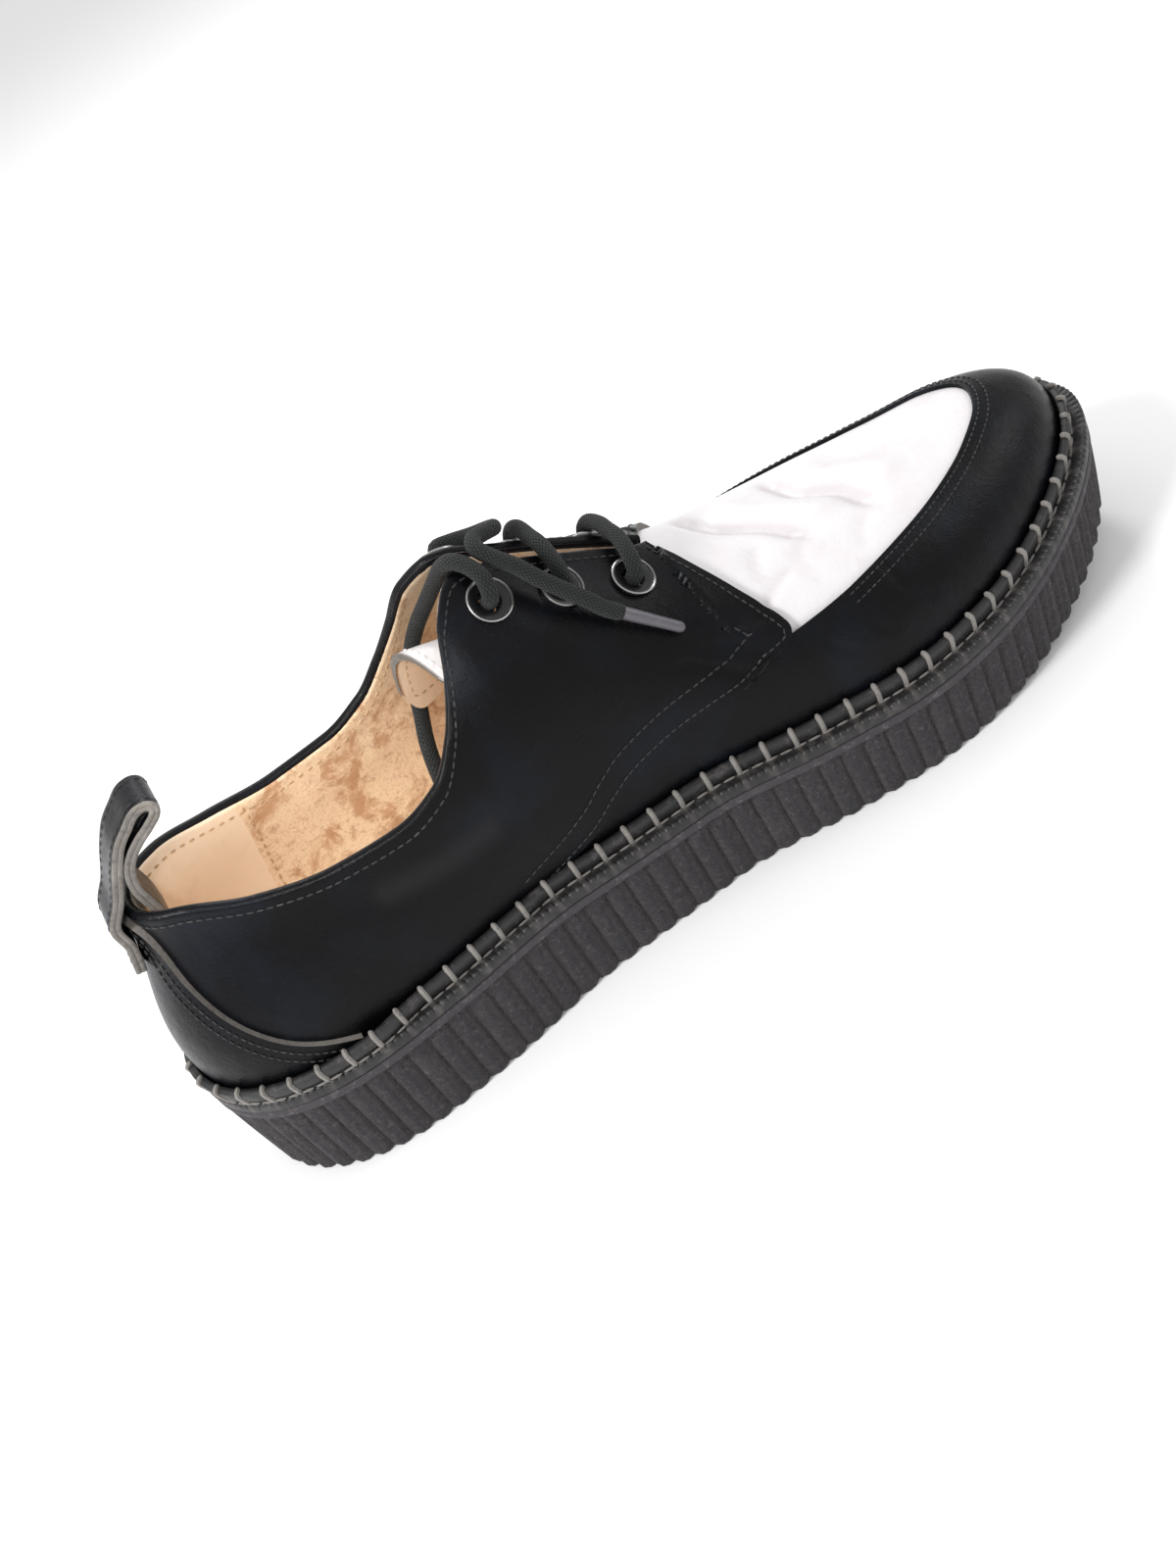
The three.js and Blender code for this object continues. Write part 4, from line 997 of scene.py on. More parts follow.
def counter_parts(sizes):
    def place(u, v):
        angle, level = counter_line(u)
        return creased(angle, level * v, COUNTER_FACE)
    parts = [laid(150, 40, place, 0, turned=True),
             cut_edge(150, counter_line, COUNTER_FACE, QUARTER_FACE, 1, True)]
    for half in (np.linspace(0.015, 0.44, 200), np.linspace(0.56, 0.985, 200)):
        angles, levels = counter_line(half)
        for distance in COUNTER_ROWS:
            row_angles, row_levels = beside(angles, levels, -distance)
            keep = row_levels > 0.05
            parts.append(surface_row(row_angles[keep], row_levels[keep], COUNTER_FACE, COUNTER_PITCH,
                                     sizes.thread_width, 2))
    return parts


def upper_parts():
    def face(u, v):
        return creased(FULL_TURN * u, v, 0.0)

    # Painted shade: the crease depth, which the white leather turns into darker creases.
    def soil_and_shade(u, v, points):
        return 0.9 * np.maximum(crease_depth(points), 0)
    return [without_eyelet_holes(laid(420, 80, face, 0, turned=True, soil_and_shade=soil_and_shade))]


def lining_parts():
    def face(u, v):
        angle = FULL_TURN * u
        share = share_at(angle)
        level = np.where(share < THROAT_FOOT, ROLL_LEVEL * v + 0.006 * v, v)
        return creased(angle, level, -UPPER_WALL + 0.5 * smoothstep(v, 0.985, 1.0))
    inner = without_eyelet_holes(laid(360, 70, face, 0))
    for face_of in inner.faces:
        u = sum(loop[inner.loops.layers.uv.active].uv[0] for loop in face_of.loops) / len(face_of.loops)
        if min(u, 1 - u) * FULL_TURN < LINING_SEAM:
            face_of.material_index = 1
    parts = [inner]
    for side in (1, -1):
        levels = np.linspace(0.2, 0.96, 60)
        seam = np.full(len(levels), side * (LINING_SEAM + 0.02))
        path = upper_offset(seam, levels, -UPPER_WALL)
        parts.append(stitches(path, -upper_normal(seam, levels), LINING_PITCH, 0.8, LINING_STITCH_SHARE, 2))
        ring = side * np.linspace(0.05, angle_at(0.42), 260)
        below = level_below_top(ring, LINING_ROW)
        path = upper_offset(ring, below, -UPPER_WALL)
        parts.append(stitches(path, -upper_normal(ring, below), LINING_PITCH, 0.7, LINING_STITCH_SHARE, 2))
    return parts


def insole_parts():
    def place(u, v):
        angle = FULL_TURN * u
        edge = inset_edge(angle, margin_at(share_at(angle)) + UPPER_WALL + 0.2)
        x = edge[:, 0] * mix(0.86, 1, v)
        y = mix(AXIS_Y, edge[:, 1], v)
        return points_of(x, y, upper_foot_at(x) + INSOLE_THICKNESS + 1.2 * v ** 4)
    return [laid(180, 24, place, 0, turned=False)]


# Sole and welt.
EDGE_ANGLES = np.linspace(0, FULL_TURN, 4001)
EDGE_RUN = distances_along(sole_edge(EDGE_ANGLES))
PERIMETER = EDGE_RUN[-1]


def even_angle(share):
    """The angle at an even share of the way round the sole's edge."""
    return np.interp(share * PERIMETER, EDGE_RUN, EDGE_ANGLES)


def knots(rows, v):
    """Values along a profile: rows holds one array for each knot, from v 0 to v 1."""
    stack = np.array([np.broadcast_to(np.asarray(row, float), v.shape) for row in rows])
    place = v * (len(rows) - 1)
    i = np.minimum(place.astype(int), len(rows) - 2)
    t = place - i
    column = np.arange(len(v))
    return stack[i, column] * (1 - t) + stack[i + 1, column] * t


# The sole's side from its tread over the ribs to its top: inset from the edge, height, how the height counts
# (0 from the ground, 1 as a share of the way to the top, 2 from the top), and share of the ribs' depth.
SOLE_SIDE = (
    (9.0, 1.0, 0, 0), (SOLE_TAPER + TREAD_BORDER, 0.8, 0, 0), (SOLE_TAPER + TREAD_BORDER - 0.5, 0, 0, 0),
    (SOLE_TAPER + 1.6, 0, 0, 0.5), (SOLE_TAPER + 0.3, 0.25, 0, 1), (SOLE_TAPER, 1.2, 0, 1),
    (SOLE_TAPER * 0.75, 0.25, 1, 1), (SOLE_TAPER * 0.5, 0.5, 1, 1), (SOLE_TAPER * 0.3, 0.72, 1, 1),
    (0.35, -3.0, 2, 1), (0.25, -2.5, 2, 0.6), (0.1, -2.2, 2, 0), (0.1, -0.6, 2, 0),
    (0.5, 0, 2, 0), (9.0, 0, 2, 0))


def outsole_parts(sizes):
    ribs = round(PERIMETER / sizes.rib_pitch)

    def ribbed_at(v):
        return knots([row[3] for row in SOLE_SIDE], v)

    def wave_at(u):
        """1 on a rib and 0 in the valley between two."""
        return np.abs(np.cos(math.pi * u * ribs)) ** 0.75

    def side(u, v):
        angle = even_angle(u)
        edge = sole_edge(angle)
        x = edge[:, 0]
        ground, top = ground_at(x), sole_top_at(x)
        heights = [(ground + h, mix(ground, top, h), top + h)[kind] for _, h, kind, _ in SOLE_SIDE]
        ribbed = ribbed_at(v)
        slant = 0.12 * np.sin(FULL_TURN * u * ribs * 3 + 9 * v) * ribbed
        inset = knots([row[0] for row in SOLE_SIDE], v) + sizes.rib_depth * (1 - wave_at(u)) * ribbed + slant
        out = outward_at(angle)
        return points_of(x - out[:, 0] * inset, edge[:, 1] - out[:, 1] * inset, knots(heights, v))

    def rough(u, v, points):
        return ribbed_at(v) * smoothstep(v, 0.28, 0.34)

    def valley(u, v, points):
        return 0.55 * (1 - wave_at(u)) * ribbed_at(v)
    return [laid(ribs * 10, (len(SOLE_SIDE) - 1) * 3, side, 0, turned=True, soil_and_shade=valley, rough=rough),
            tread_part(sizes)]


def tread_part(sizes):
    border = SOLE_TAPER + TREAD_BORDER - 0.2
    half_turn = np.linspace(0.0, math.pi, 700)
    lateral = inset_edge(half_turn, np.full(700, border))
    medial = inset_edge(-half_turn, np.full(700, border))
    low, high = lateral[:, 0].min(), lateral[:, 0].max()
    pitch = sizes.rib_pitch
    first = -(TREAD_GROOVES - 1) * pitch / 2

    def grooves(x):
        away = np.abs((x - first + pitch / 2) % pitch - pitch / 2)
        width = mix(1.0, 1.5, smoothstep(x, 20, 80))
        return 1 - smoothstep(away, width * 0.55, width * 1.25)

    def spread(u, v):
        x = mix(low, high, u)
        a = np.interp(x, medial[:, 0], medial[:, 1])
        b = np.interp(x, lateral[:, 0], lateral[:, 1])
        return x, mix(a, b, v), np.minimum(v, 1 - v) * (b - a)

    def place(u, v):
        x, y, inside = spread(u, v)
        ends = np.minimum(x - low, high - x)
        inside = np.minimum(inside, ends)
        lift = 0.9 * (1 - smoothstep(inside, 0.0, 0.7))
        cut = 1.4 * grooves(x + 0.35 * np.sin(y * 0.9) * np.sin(x * 0.21)) * smoothstep(inside, 0.7, 2.2)
        return points_of(x, y, ground_at(x) + np.maximum(lift, cut))

    def soil_and_shade(u, v, points):
        return 0.9 * grooves(points[:, 0])

    def rough(u, v, points):
        return np.clip(grooves(points[:, 0]) + 0.25 * smoothstep(points[:, 0], 20, 90), 0, 1) * 0.6
    return laid(int((high - low) / 0.55), 40, place, 0, turned=True, soil_and_shade=soil_and_shade, rough=rough)


def panels_over(angle):
    share = share_at(angle)
    edge = quarter_front(0.0)
    turn = np.degrees(np.arccos(np.clip(1 - 2 * share, -1, 1)))
    front = smoothstep(share, edge - 0.01, edge + 0.02)
    counter = 1 - smoothstep(turn, COUNTER_REACH + 1, COUNTER_REACH + 9)
    return GAP + mix(QUARTER_THICKNESS, MUDGUARD_THICKNESS, front) + counter * (1.5 * GAP + COUNTER_THICKNESS)


def welt_frame(share):
    """Angle, wall inset, lean of the bead and margin at an even share of the way round."""
    angle = even_angle(share)
    margin = margin_at(share_at(angle))
    wall = margin - panels_over(angle) - 0.1
    lean = BEAD_HEIGHT * section["swell"](share_at(angle)) / section["rise"](share_at(angle))
    return angle, wall, lean, margin


def welt_point(angle, inset, height):
    edge, out = sole_edge(angle), outward_at(angle)
    x, y = edge[:, 0] - out[:, 0] * inset, edge[:, 1] - out[:, 1] * inset
    return points_of(x, y, sole_top_at(x) + GAP * 0.3 + height)


WELT_TICK_PITCH = 2.1
WELT_ROWS = 32
WELT_THREAD = 1.5
# The stitch over the bead: share of the bead's lean, extra inset, height, and lift of its outward ray.
BEAD_STITCH = table(
    ("climb", "inset", "height", "up"),
    (0, -0.1, 0, 0.1), (0.3, -0.1, 1.4, 0.1), (0.65, -0.1, 3.1, 0.2), (0.95, 0.1, 4.7, 1.0),
    (1.0, 1.3, 5.1, 2.5))


def welt_parts(sizes):
    bricks = round(PERIMETER / sizes.brick_pitch)
    ticks = round(PERIMETER / WELT_TICK_PITCH)

    def place(u, v):
        angle, wall, lean, margin = welt_frame(u)
        bulge = 0.55 * np.abs(np.sin(math.pi * u * bricks)) ** 0.45
        notch = 0.5 * np.abs(np.cos(math.pi * u * ticks)) ** 10
        out = wall - BEAD_WIDTH
        shelf = np.maximum(out - 0.9, 0.9)
        top = WELT_THICKNESS
        profile = (
            (margin + WELT_UNDERCUT, 0), (0.6, 0), (0.15, 0.4), (0, 1.8),
            (0.1 + 0.3 * notch, 3.1 - notch), (0.7, top - notch), (np.minimum(1.6, shelf), top - notch * 0.7),
            (shelf, top), (out - 0.3, top - 0.15), (out - bulge * 0.4, top + 0.5),
            (out - lean * 0.35 - bulge, top + 1.6), (out - lean * 0.7 - bulge, top + 3.4),
            (out - lean * 0.9 - bulge * 0.4, top + 4.6),
            (out + 1.0 - lean, top + BEAD_HEIGHT - 0.1 * (1 - bulge)),
            (wall - lean - 0.2, top + BEAD_HEIGHT - 0.2), (wall, top), (margin + WELT_UNDERCUT, top))
        insets, heights = zip(*profile)
        return welt_point(angle, knots(insets, v), knots(heights, v))

    def soil_and_shade(u, v, points):
        worn = np.abs(np.cos(math.pi * u * bricks)) ** 8
        return 0.35 * worn + 0.4 * (np.abs(v - 0.47) < 0.05)
    parts = [laid(ticks * 6, WELT_ROWS, place, 0, turned=True, soil_and_shade=soil_and_shade)]
    for k in range(bricks):
        angle, wall, lean, _ = welt_frame(np.full(len(BEAD_STITCH["climb"]), k / bricks))
        inset = wall - BEAD_WIDTH - lean * BEAD_STITCH["climb"] + BEAD_STITCH["inset"]
        path = welt_point(angle, inset, WELT_THICKNESS + 0.2 + BEAD_STITCH["height"])
        ray = outward_at(angle)
        normals = points_of(ray[:, 0], ray[:, 1], BEAD_STITCH["up"])
        tube_path = smooth_path(path + unit(normals) * 0.15, 9)
        parts.append(tube(*round_ends(tube_path, sizes.thread_width * WELT_THREAD, 2), sides=6, material=1))
    angle, wall, _, _ = welt_frame(np.linspace(0, 1, 2400))
    path = welt_point(angle, np.maximum(wall - BEAD_WIDTH - 0.85, 0.5), WELT_THICKNESS + 0.15)
    parts.append(stitches(path, np.tile([0.0, 0.0, 1.0], (len(path), 1)), sizes.brick_pitch * 0.5,
                          sizes.thread_width * WELT_THREAD, 0.86, 1))
    return parts


# Tongue, loop and lace. The tongue's stitch row runs at these shares of its half width and of its length.
TONGUE_HEM = 0.86
TONGUE_HEM_END = 0.965


def tongue_parts(sizes):
    root = section_top(angle_at(TONGUE_FOOT)) - np.array([0, 0, UPPER_WALL + 2 * GAP])
    pitch = math.radians(TONGUE_PITCH)
    end = root + TONGUE_LENGTH * np.array([-math.cos(pitch), 0, math.sin(pitch)])
    curves = {key: through(TONGUE_SECTIONS, "along", key)
              for key in ("rise", "width", "tilt", "bend", "skew")}

    def point(t, along, depth):
        width, bend = curves["width"](along) * TONGUE_WIDTH, curves["bend"](along)
        slope = -4 * bend * t / width
        normal = unit(points_of(0, -slope, 1))
        flat = points_of(-curves["skew"](along) * t, t * width / 2, -bend * t * t) - normal * depth[:, None]
        tilt = -np.radians(curves["tilt"](along))
        y = flat[:, 1] * np.cos(tilt) - flat[:, 2] * np.sin(tilt)
        z = flat[:, 1] * np.sin(tilt) + flat[:, 2] * np.cos(tilt)
        middle = root + (end - root) * along[:, None]
        return middle + points_of(flat[:, 0], y, z + curves["rise"](along))

    def outline(u, v):
        """Corners rounded: the end narrows over its last few millimetres."""
        tip = np.clip((v - 0.93) / 0.07, 0, 1)
        return (2 * u - 1) * (1 - 0.22 * tip ** 3), v

    def face(u, v, depth=0.0):
        return point(*outline(u, v), np.full(len(u), depth))

    def under(u, v):
        return face(u, v, TONGUE_THICKNESS)

    def rim(u, v):
        """Round the free end: up the lateral side, across and down the medial side."""
        length = np.clip(3 * u, 0, 1) - np.clip(3 * u - 2, 0, 1)
        across = 1 - 2 * np.clip(3 * u - 1, 0, 1)
        t, along = outline((across + 1) / 2, length)
        return point(t, along, v * TONGUE_THICKNESS)
    parts = [laid(40, 80, face, 0), laid(40, 80, under, 1, turned=True), laid(240, 3, rim, 2)]
    return parts + tongue_hem(face, sizes)


def tongue_hem(face, sizes):
    """A stitch row round the free end on both faces: face(u, v, depth) gives the tongue's points."""
    left, right = (1 + TONGUE_HEM) / 2, (1 - TONGUE_HEM) / 2
    u = np.concatenate([np.full(60, left), np.linspace(left, right, 60), np.full(60, right)])
    v = np.concatenate([np.linspace(0.3, TONGUE_HEM_END, 60), np.full(60, TONGUE_HEM_END),
                        np.linspace(TONGUE_HEM_END, 0.3, 60)])
    rows = []
    for depth, material, outward in ((0.0, 3, 1), (TONGUE_THICKNESS, 4, -1)):
        path = face(u, v, depth)
        normals = unit(face(u, v, depth - 0.5) - path) * outward
        rows.append(stitches(path, normals, 2.6, sizes.thread_width, 0.66, material))
    return rows


def loop_path():
    """The pull loop's middle line: up the outside of the heel, over in a fold and down the inside."""
    lift = COUNTER_BASE + COUNTER_THICKNESS + GAP + LOOP_THICKNESS / 2
    sunk = -UPPER_WALL - GAP - LOOP_THICKNESS / 2 - LOOP_WIDTH ** 2 / (8 * COLLAR_END_RADIUS)
    tail = 1 - LOOP_TAIL / (INSTEP_HEIGHT * float(section["height"](0.0)))
    outside = [upper_offset(0.0, level, lift) for level in (tail, (1 + tail) / 2, 1.0)]
    bend = [outside[-1] + np.array([ahead * LOOP_LEAN, 0, up * LOOP_HEIGHT])
            for ahead, up in zip(LOOP_BEND["ahead"], LOOP_BEND["up"])]
    inside = [upper_offset(0.0, level, sunk) for level in (1.0, 0.93, 0.84)]
    return smooth_path([*outside, *bend, *inside], 150)


# Half of the strap's section, as shares of its half width and half thickness: two layers meet at its sides.
STRAP_SECTION = ((0.0, 1.0), (0.90, 1.0), (0.97, 0.92), (1.0, 0.6), (0.995, 0.2), (0.97, 0.0))
STRAP_FULLNESS = 1.25
STRAP_FACE_SHARE = 0.955
STRAP_STITCH_INSET = 2.2
STRAP_STITCH_PITCH = 2.2


def loop_parts(sizes):
    path = loop_path()
    tangents = unit(np.gradient(path, axis=0))
    over = unit(points_of(-tangents[:, 2], 0, tangents[:, 0]))
    half = np.array(STRAP_SECTION)
    ring = np.vstack([half, half[::-1][1:] * [1, -1], half[1:] * [-1, -1], half[::-1][1:] * [-1, 1]])
    run = np.linspace(0, 1, len(ring))
    width, thick = LOOP_WIDTH / 2, LOOP_THICKNESS / 2 * STRAP_FULLNESS

    def place(u, v):
        i = np.rint(v * (len(path) - 1)).astype(int)
        y = np.interp(u, run, ring[:, 0]) * width
        z = np.interp(u, run, ring[:, 1]) * thick
        return path[i] + over[i] * z[:, None] + points_of(0, y, 0)
    strap = laid(len(ring) * 4 - 4, len(path) - 1, place, 0)
    middle = AXIS_Y * MM
    for face in strap.faces:
        if abs(face.calc_center_median().y - middle) > width * STRAP_FACE_SHARE * MM:
            face.material_index = 1
    parts = [strap]
    for side in (-1, 1):
        for sign, rows in ((1, slice(3, 118)), (-1, slice(30, 100))):
            row = (path[rows] + over[rows] * sign * thick * 0.9
                   + np.array([0, side * (width - STRAP_STITCH_INSET), 0]))
            parts.append(stitches(row, over[rows] * sign, STRAP_STITCH_PITCH, sizes.thread_width, 0.72, 2))
    return parts


LACE_SIDES = 18


def lace_bar_path(place):
    low = QUARTER_THICKNESS + 3 * GAP + 1.0
    half = {}
    for seat in SEATS:
        if seat["place"] == place:
            def over(t, height, seat=seat):
                return upper_offset(seat["angle"], mix(seat["level"], 1, t), height)
            half[seat["side"]] = [
                over(0, -2.4), over(0, 1.2), over(0, low + LACE_DIAMETER * 0.2),
                over(0.3, low + LACE_DIAMETER * 0.52), over(0.95, low + LACE_DIAMETER * 0.3)]
    middle = (half[1][-1] + half[-1][-1]) / 2 + np.array([0, 0, LACE_HUMP])
    return smooth_path([*half[-1], middle, *half[1][::-1]], 90)


def lace_end_path(side, route):
    seat = next(seat for seat in SEATS if seat["side"] == side and seat["place"] == 1)
    start = [seat["centre"] + seat["out"] * lift for lift in (-2.2, 0.8)]
    return smooth_path([*start, *route], 160)


def aglet_path(route):
    before, last = np.array(route[-2], float), np.array(route[-1], float)
    along = unit(last - before)
    return np.array([last + along * (GAP + s * AGLET_LENGTH) for s in np.linspace(-0.1, 0.98, 24)])


def aglet_parts(route):
    path, radii = round_ends(aglet_path(route), AGLET_DIAMETER / 2, 4)
    share = np.linspace(0, 1, len(path))
    return [tube(path, radii * (1.06 - 0.16 * smoothstep(share, 0.1, 0.9)), sides=14)]


# The eyelet's section as radius and height: a dark flange out to EYELET_DARK, then its bright rolled rim.
EYELET_PROFILE = ((2.3, -1.6), (2.5, 1.0), (3.0, 2.35), (4.2, 2.75), (5.0, 2.8), (5.15, 3.1), (5.45, 3.3),
                  (5.75, 3.1), (5.8, 2.6), (5.5, 2.0))
EYELET_DARK = 5.05
EYELET_STEPS = 32


def eyelet_part(seat):
    bm = bmesh.new()
    verts = [bm.verts.new((radius * MM, 0, height * MM)) for radius, height in EYELET_PROFILE]
    edges = [bm.edges.new(pair) for pair in zip(verts, verts[1:])]
    bmesh.ops.spin(bm, geom=verts + edges, cent=(0, 0, 0), axis=(0, 0, 1), angle=FULL_TURN,
                   steps=EYELET_STEPS, use_merge=True)
    bmesh.ops.recalc_face_normals(bm, faces=bm.faces)
    turn = Vector((0, 0, 1)).rotation_difference(Vector(seat["out"])).to_matrix().to_4x4()
    turn.translation = Vector(seat["centre"] * MM)
    bmesh.ops.transform(bm, matrix=turn, verts=bm.verts)
    axis, centre = Vector(seat["out"]), Vector(seat["centre"] * MM)
    for face in bm.faces:
        away = face.calc_center_median() - centre
        face.material_index = int((away - axis * away.dot(axis)).length < EYELET_DARK * MM)
        face.smooth = True
    return bm


# Settings, operators and panel.
def length_property(name, description, millimetres):
    return FloatProperty(name=name, description=description, default=millimetres * MM, min=0, precision=5,
                         subtype="DISTANCE", unit="LENGTH")


class ShoeSizes(bpy.types.PropertyGroup):
    """Sizes of the finer work."""
    rib_pitch: length_property("Rib pitch", "Distance from rib to rib round the sole", 6.4)
    rib_depth: length_property("Rib depth", "Depth of the valleys between ribs", 1.5)
    brick_pitch: length_property("Welt stitch pitch", "Distance between the welt's upright stitches", 8.0)
    thread_width: length_property("Thread width", "Width of the sewing thread", 0.5)


def sizes_in_mm():
    """The settings' lengths, turned from Blender's metres into the millimetres of the shoe's own sizes."""
    settings = bpy.context.scene.shoe_sizes
    return SimpleNamespace(**{key: getattr(settings, key) / MM for key in ShoeSizes.__annotations__})


def colour_property(name, description, default):
    return FloatVectorProperty(name=name, description=description, subtype="COLOR", size=3, min=0, max=1,
                               default=default)


class ShoeColours(bpy.types.PropertyGroup):
    """Base colours of the finishes."""
    black_leather: colour_property(
        "Black leather", "Quarters, mudguard, counter and loop", (0.0024, 0.0024, 0.0030))
    white_leather: colour_property("White leather", "Vamp and the face of the tongue", (0.76, 0.735, 0.745))
    lining: colour_property("Lining", "Lining leather of the quarters and vamp", (0.98, 0.76, 0.52))
    heel_lining: colour_property("Heel lining", "Smooth pocket at the heel", (0.97, 0.78, 0.58))
    raw_edge: colour_property("Raw edge", "Cut edges of the leather", (0.17, 0.155, 0.14))
    rubber: colour_property("Rubber", "Outsole", (0.040, 0.036, 0.041))
    welt: colour_property("Welt", "Welt band", (0.010, 0.009, 0.0095))
    lace: colour_property("Lace", "Woven lace", (0.015, 0.017, 0.0165))
    metal: colour_property("Eyelets", "Rims of the eyelets", (0.42, 0.41, 0.40))
    aglet: colour_property("Aglets", "Hard lace tips", (0.085, 0.078, 0.092))


class SHOE_OT_stage(bpy.types.Operator):
    """Lay the floor, light it and set the camera"""
    bl_idname = "shoe.stage"
    bl_label = "Stage"

    def execute(self, context):
        set_camera(context.scene)
        set_lights(context.scene)
        bm = bmesh.new()
        bmesh.ops.create_grid(bm, x_segments=2, y_segments=2, size=FLOOR_HALF_WIDTH)
        mesh = bpy.data.meshes.new("floor")
        bm.to_mesh(mesh)
        bm.free()
        mesh.materials.append(floor_paper())
        floor = bpy.data.objects.new("floor", mesh)
        context.scene.collection.objects.link(floor)
        return {"FINISHED"}


# The camera in metres and degrees. Its focal length and the picture's height are in pixels.
CAMERA_PLACE = (-0.06873, -0.35513, 0.29920)
CAMERA_TARGET = (-0.02536, -0.02602, 0.05)
CAMERA_ROLL = -33.51
CAMERA_FOCUS = 1690.0
IMAGE_HEIGHT = 1600.0
SENSOR_HEIGHT = 24.0

# Studio lights as name, place and diameter in metres, and power in watts.
STUDIO_LIGHTS = (
    ("key", (-0.95, -0.35, 0.95), 0.35, 13), ("back", (0.35, 0.95, 0.95), 0.5, 5),
    ("toe", (1.1, -0.25, 0.7), 0.4, 2))
LIGHT_TARGET = (0, 0, 0.05)
WORLD_BRIGHTNESS = 0.78
FLOOR_HALF_WIDTH = 30.0
INSIDE_LIGHT_PLACE = (-0.11, -0.30, 0.33)
INSIDE_LIGHT_TARGET = (-0.085, 0.02, 0.075)
INSIDE_LIGHT_CONE = math.radians(17)
INSIDE_LIGHT_POWER = 5.0


def set_camera(scene):
    """The photograph's own standpoint and roll, turned to the one shoe."""
    data = bpy.data.cameras.new("camera")
    data.sensor_fit = "VERTICAL"
    data.sensor_height = SENSOR_HEIGHT
    data.lens = SENSOR_HEIGHT * CAMERA_FOCUS / IMAGE_HEIGHT
    data.clip_start = 0.01
    camera = bpy.data.objects.new("camera", data)
    aim = Vector(CAMERA_TARGET) - Vector(CAMERA_PLACE)
    turn = aim.to_track_quat("-Z", "Y").to_matrix() @ Matrix.Rotation(math.radians(CAMERA_ROLL), 3, "Z")
    camera.matrix_world = Matrix.Translation(Vector(CAMERA_PLACE)) @ turn.to_4x4()
    scene.collection.objects.link(camera)
    scene.camera = camera


def add_light(scene, data, place, target):
    light = bpy.data.objects.new(data.name, data)
    light.location = place
    light.rotation_euler = (Vector(target) - Vector(place)).to_track_quat("-Z", "Y").to_euler()
    scene.collection.objects.link(light)


def set_lights(scene):
    """A white world, three soft lights, and a narrow one beside the camera that reaches the lining."""
    world = bpy.data.worlds.new("studio")
    world.use_nodes = True
    world.node_tree.nodes["Background"].inputs["Color"].default_value = (1, 1, 1, 1)
    world.node_tree.nodes["Background"].inputs["Strength"].default_value = WORLD_BRIGHTNESS
    scene.world = world
    for name, place, size, power in STUDIO_LIGHTS:
        data = bpy.data.lights.new(name, "AREA")
        data.shape = "DISK"
        data.size = size
        data.energy = power
        add_light(scene, data, place, LIGHT_TARGET)
    data = bpy.data.lights.new("inside", "SPOT")
    data.energy = INSIDE_LIGHT_POWER
    data.spot_size = INSIDE_LIGHT_CONE
    data.spot_blend = 0.9
    data.shadow_soft_size = 0.04
    add_light(scene, data, INSIDE_LIGHT_PLACE, INSIDE_LIGHT_TARGET)
    scene.view_settings.view_transform = "Standard"


class SHOE_OT_lace(bpy.types.Operator):
    """Run the lace through the eyelets, with its two ends and their tips"""
    bl_idname = "shoe.lace"
    bl_label = "Lace"

    def execute(self, context):
        made = finishes()
        for place in range(2, EYELET_COUNT + 1):
            path, radii = round_ends(lace_bar_path(place), LACE_DIAMETER / 2)
            add_piece(f"lace_over_{place}", [tube(path, radii, LACE_SIDES)], [made["lace"]],
                      [f"lace_bar_{place}"])
        for side, word, route in ((1, "lateral", LATERAL_ROUTE), (-1, "medial", MEDIAL_ROUTE)):
            tip = add_piece(f"lace_tip_{word}", aglet_parts(route), [made["aglet"]],
                            [f"aglet_{word}"])
            path = lace_end_path(side, route)
            closed, radii = round_ends(path, LACE_DIAMETER / 2)
            end = add_piece(f"lace_{word}", [tube(closed, radii, LACE_SIDES)], [made["lace"]],
                            [f"lace_end_{word}"])
        return {"FINISHED"}


class SHOE_OT_outsole(bpy.types.Operator):
    """Ribbed rubber sole with its grooved underside"""
    bl_idname = "shoe.outsole"
    bl_label = "Outsole"

    def execute(self, context):
        add_piece("rubber_sole", outsole_parts(sizes_in_mm()), [finishes()["rubber"]], ["outsole"])
        return {"FINISHED"}


class SHOE_OT_welt(bpy.types.Operator):
    """Welt band with its bead and stitching"""
    bl_idname = "shoe.welt"
    bl_label = "Welt"

    def execute(self, context):
        made = finishes()
        add_piece("welt_band", welt_parts(sizes_in_mm()), [made["welt"], made["pale_thread"]],
                  ["welt"])
        return {"FINISHED"}


class SHOE_OT_upper(bpy.types.Operator):
    """White vamp, lining and insole"""
    bl_idname = "shoe.upper"
    bl_label = "Upper and lining"

    def execute(self, context):
        made = finishes()
        add_piece("vamp", upper_parts(), [made["white"]], ["upper"])
        add_piece("lining", lining_parts(), [made["lining"], made["heel"], made["tan_thread"]], [])
        add_piece("sock", insole_parts(), [made["lining"]], ["insole"])
        return {"FINISHED"}


class SHOE_OT_panels(bpy.types.Operator):
    """Quarters, mudguard and heel counter with their stitching"""
    bl_idname = "shoe.panels"
    bl_label = "Leather panels"

    def execute(self, context):
        sizes = sizes_in_mm()
        for side, word in ((1, "lateral"), (-1, "medial")):
            add_piece(f"side_{word}", quarter_parts(side, sizes), panel_materials(), [f"quarter_{word}"])
        add_piece("toe_guard", mudguard_parts(sizes), panel_materials(), ["mudguard"])
        add_piece("heel_panel", counter_parts(sizes), panel_materials(), ["heel_counter"])
        return {"FINISHED"}


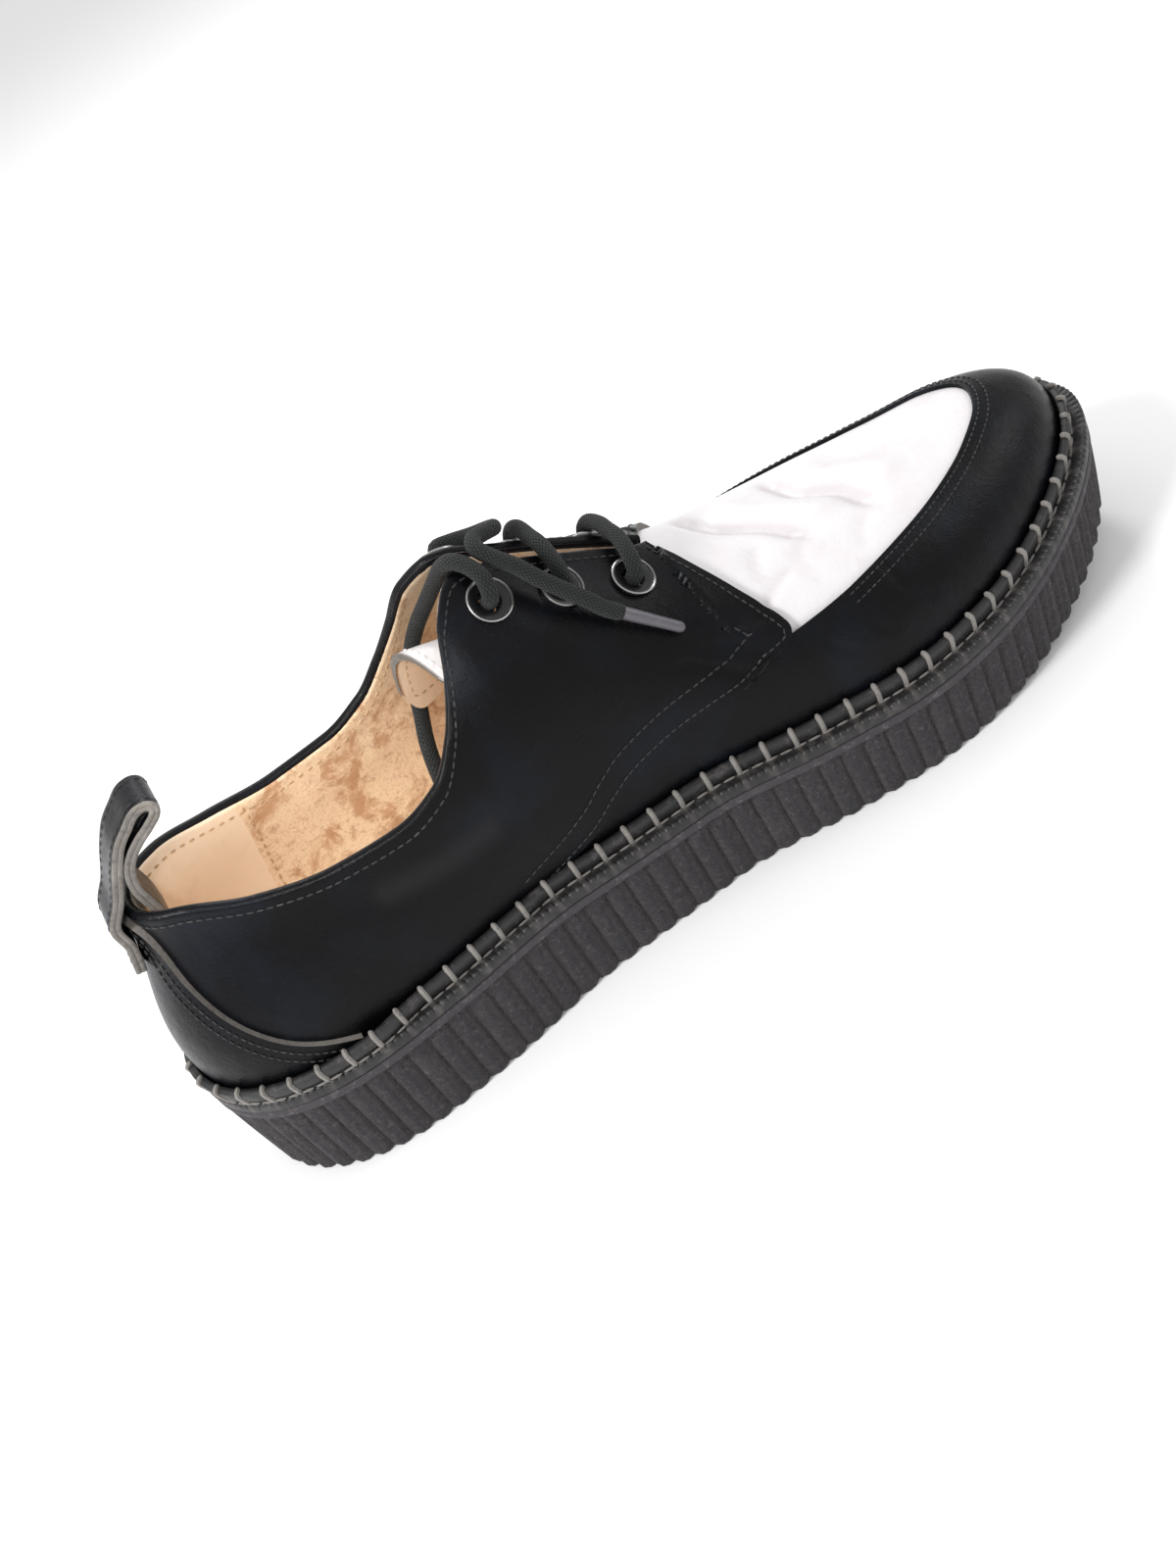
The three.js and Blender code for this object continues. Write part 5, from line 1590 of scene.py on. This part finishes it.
class SHOE_OT_eyelets(bpy.types.Operator):
    """Six flanged eyelets"""
    bl_idname = "shoe.eyelets"
    bl_label = "Eyelets"

    def execute(self, context):
        for seat in SEATS:
            word = "lateral" if seat["side"] > 0 else "medial"
            add_piece(f"ring_{word}_{seat['place']}", [eyelet_part(seat)],
                      [finishes()["metal"], finishes()["enamel"]],
                      [f"eyelet_{word}_{seat['place']}"])
        return {"FINISHED"}


class SHOE_OT_tongue(bpy.types.Operator):
    """Tongue with its turned-up side"""
    bl_idname = "shoe.tongue"
    bl_label = "Tongue"

    def execute(self, context):
        made = finishes()
        add_piece("tongue_leather", tongue_parts(sizes_in_mm()),
                  [made["white"], made["heel"], made["raw"], made["white_thread"], made["tan_thread"]],
                  ["tongue"])
        return {"FINISHED"}


class SHOE_OT_pull_loop(bpy.types.Operator):
    """Pull loop at the heel"""
    bl_idname = "shoe.pull_loop"
    bl_label = "Pull loop"

    def execute(self, context):
        add_piece("heel_loop", loop_parts(sizes_in_mm()), panel_materials(), ["pull_loop"])
        return {"FINISHED"}


OPERATORS = (SHOE_OT_stage, SHOE_OT_lace, SHOE_OT_outsole, SHOE_OT_welt, SHOE_OT_upper, SHOE_OT_panels,
             SHOE_OT_eyelets, SHOE_OT_tongue, SHOE_OT_pull_loop)


class SHOE_PT_panel(bpy.types.Panel):
    """The shoe's settings and the steps that make it"""
    bl_idname = "SHOE_PT_panel"
    bl_label = "Left derby shoe"
    bl_space_type = "VIEW_3D"
    bl_region_type = "UI"
    bl_category = "Shoe"

    def draw(self, context):
        for group in (context.scene.shoe_sizes, context.scene.shoe_colours):
            for key in group.__annotations__:
                self.layout.prop(group, key)
        for operator in OPERATORS:
            self.layout.operator(operator.bl_idname)


CLASSES = (ShoeSizes, ShoeColours, *OPERATORS, SHOE_PT_panel)


def register():
    for cls in CLASSES:
        bpy.utils.register_class(cls)
    bpy.types.Scene.shoe_sizes = PointerProperty(type=ShoeSizes)
    bpy.types.Scene.shoe_colours = PointerProperty(type=ShoeColours)


def unregister():
    del bpy.types.Scene.shoe_sizes
    del bpy.types.Scene.shoe_colours
    for cls in reversed(CLASSES):
        bpy.utils.unregister_class(cls)


def main():
    register()
    for operator in OPERATORS:
        group, name = operator.bl_idname.split(".")
        getattr(getattr(bpy.ops, group), name)()


if __name__ == "__main__":
    main()
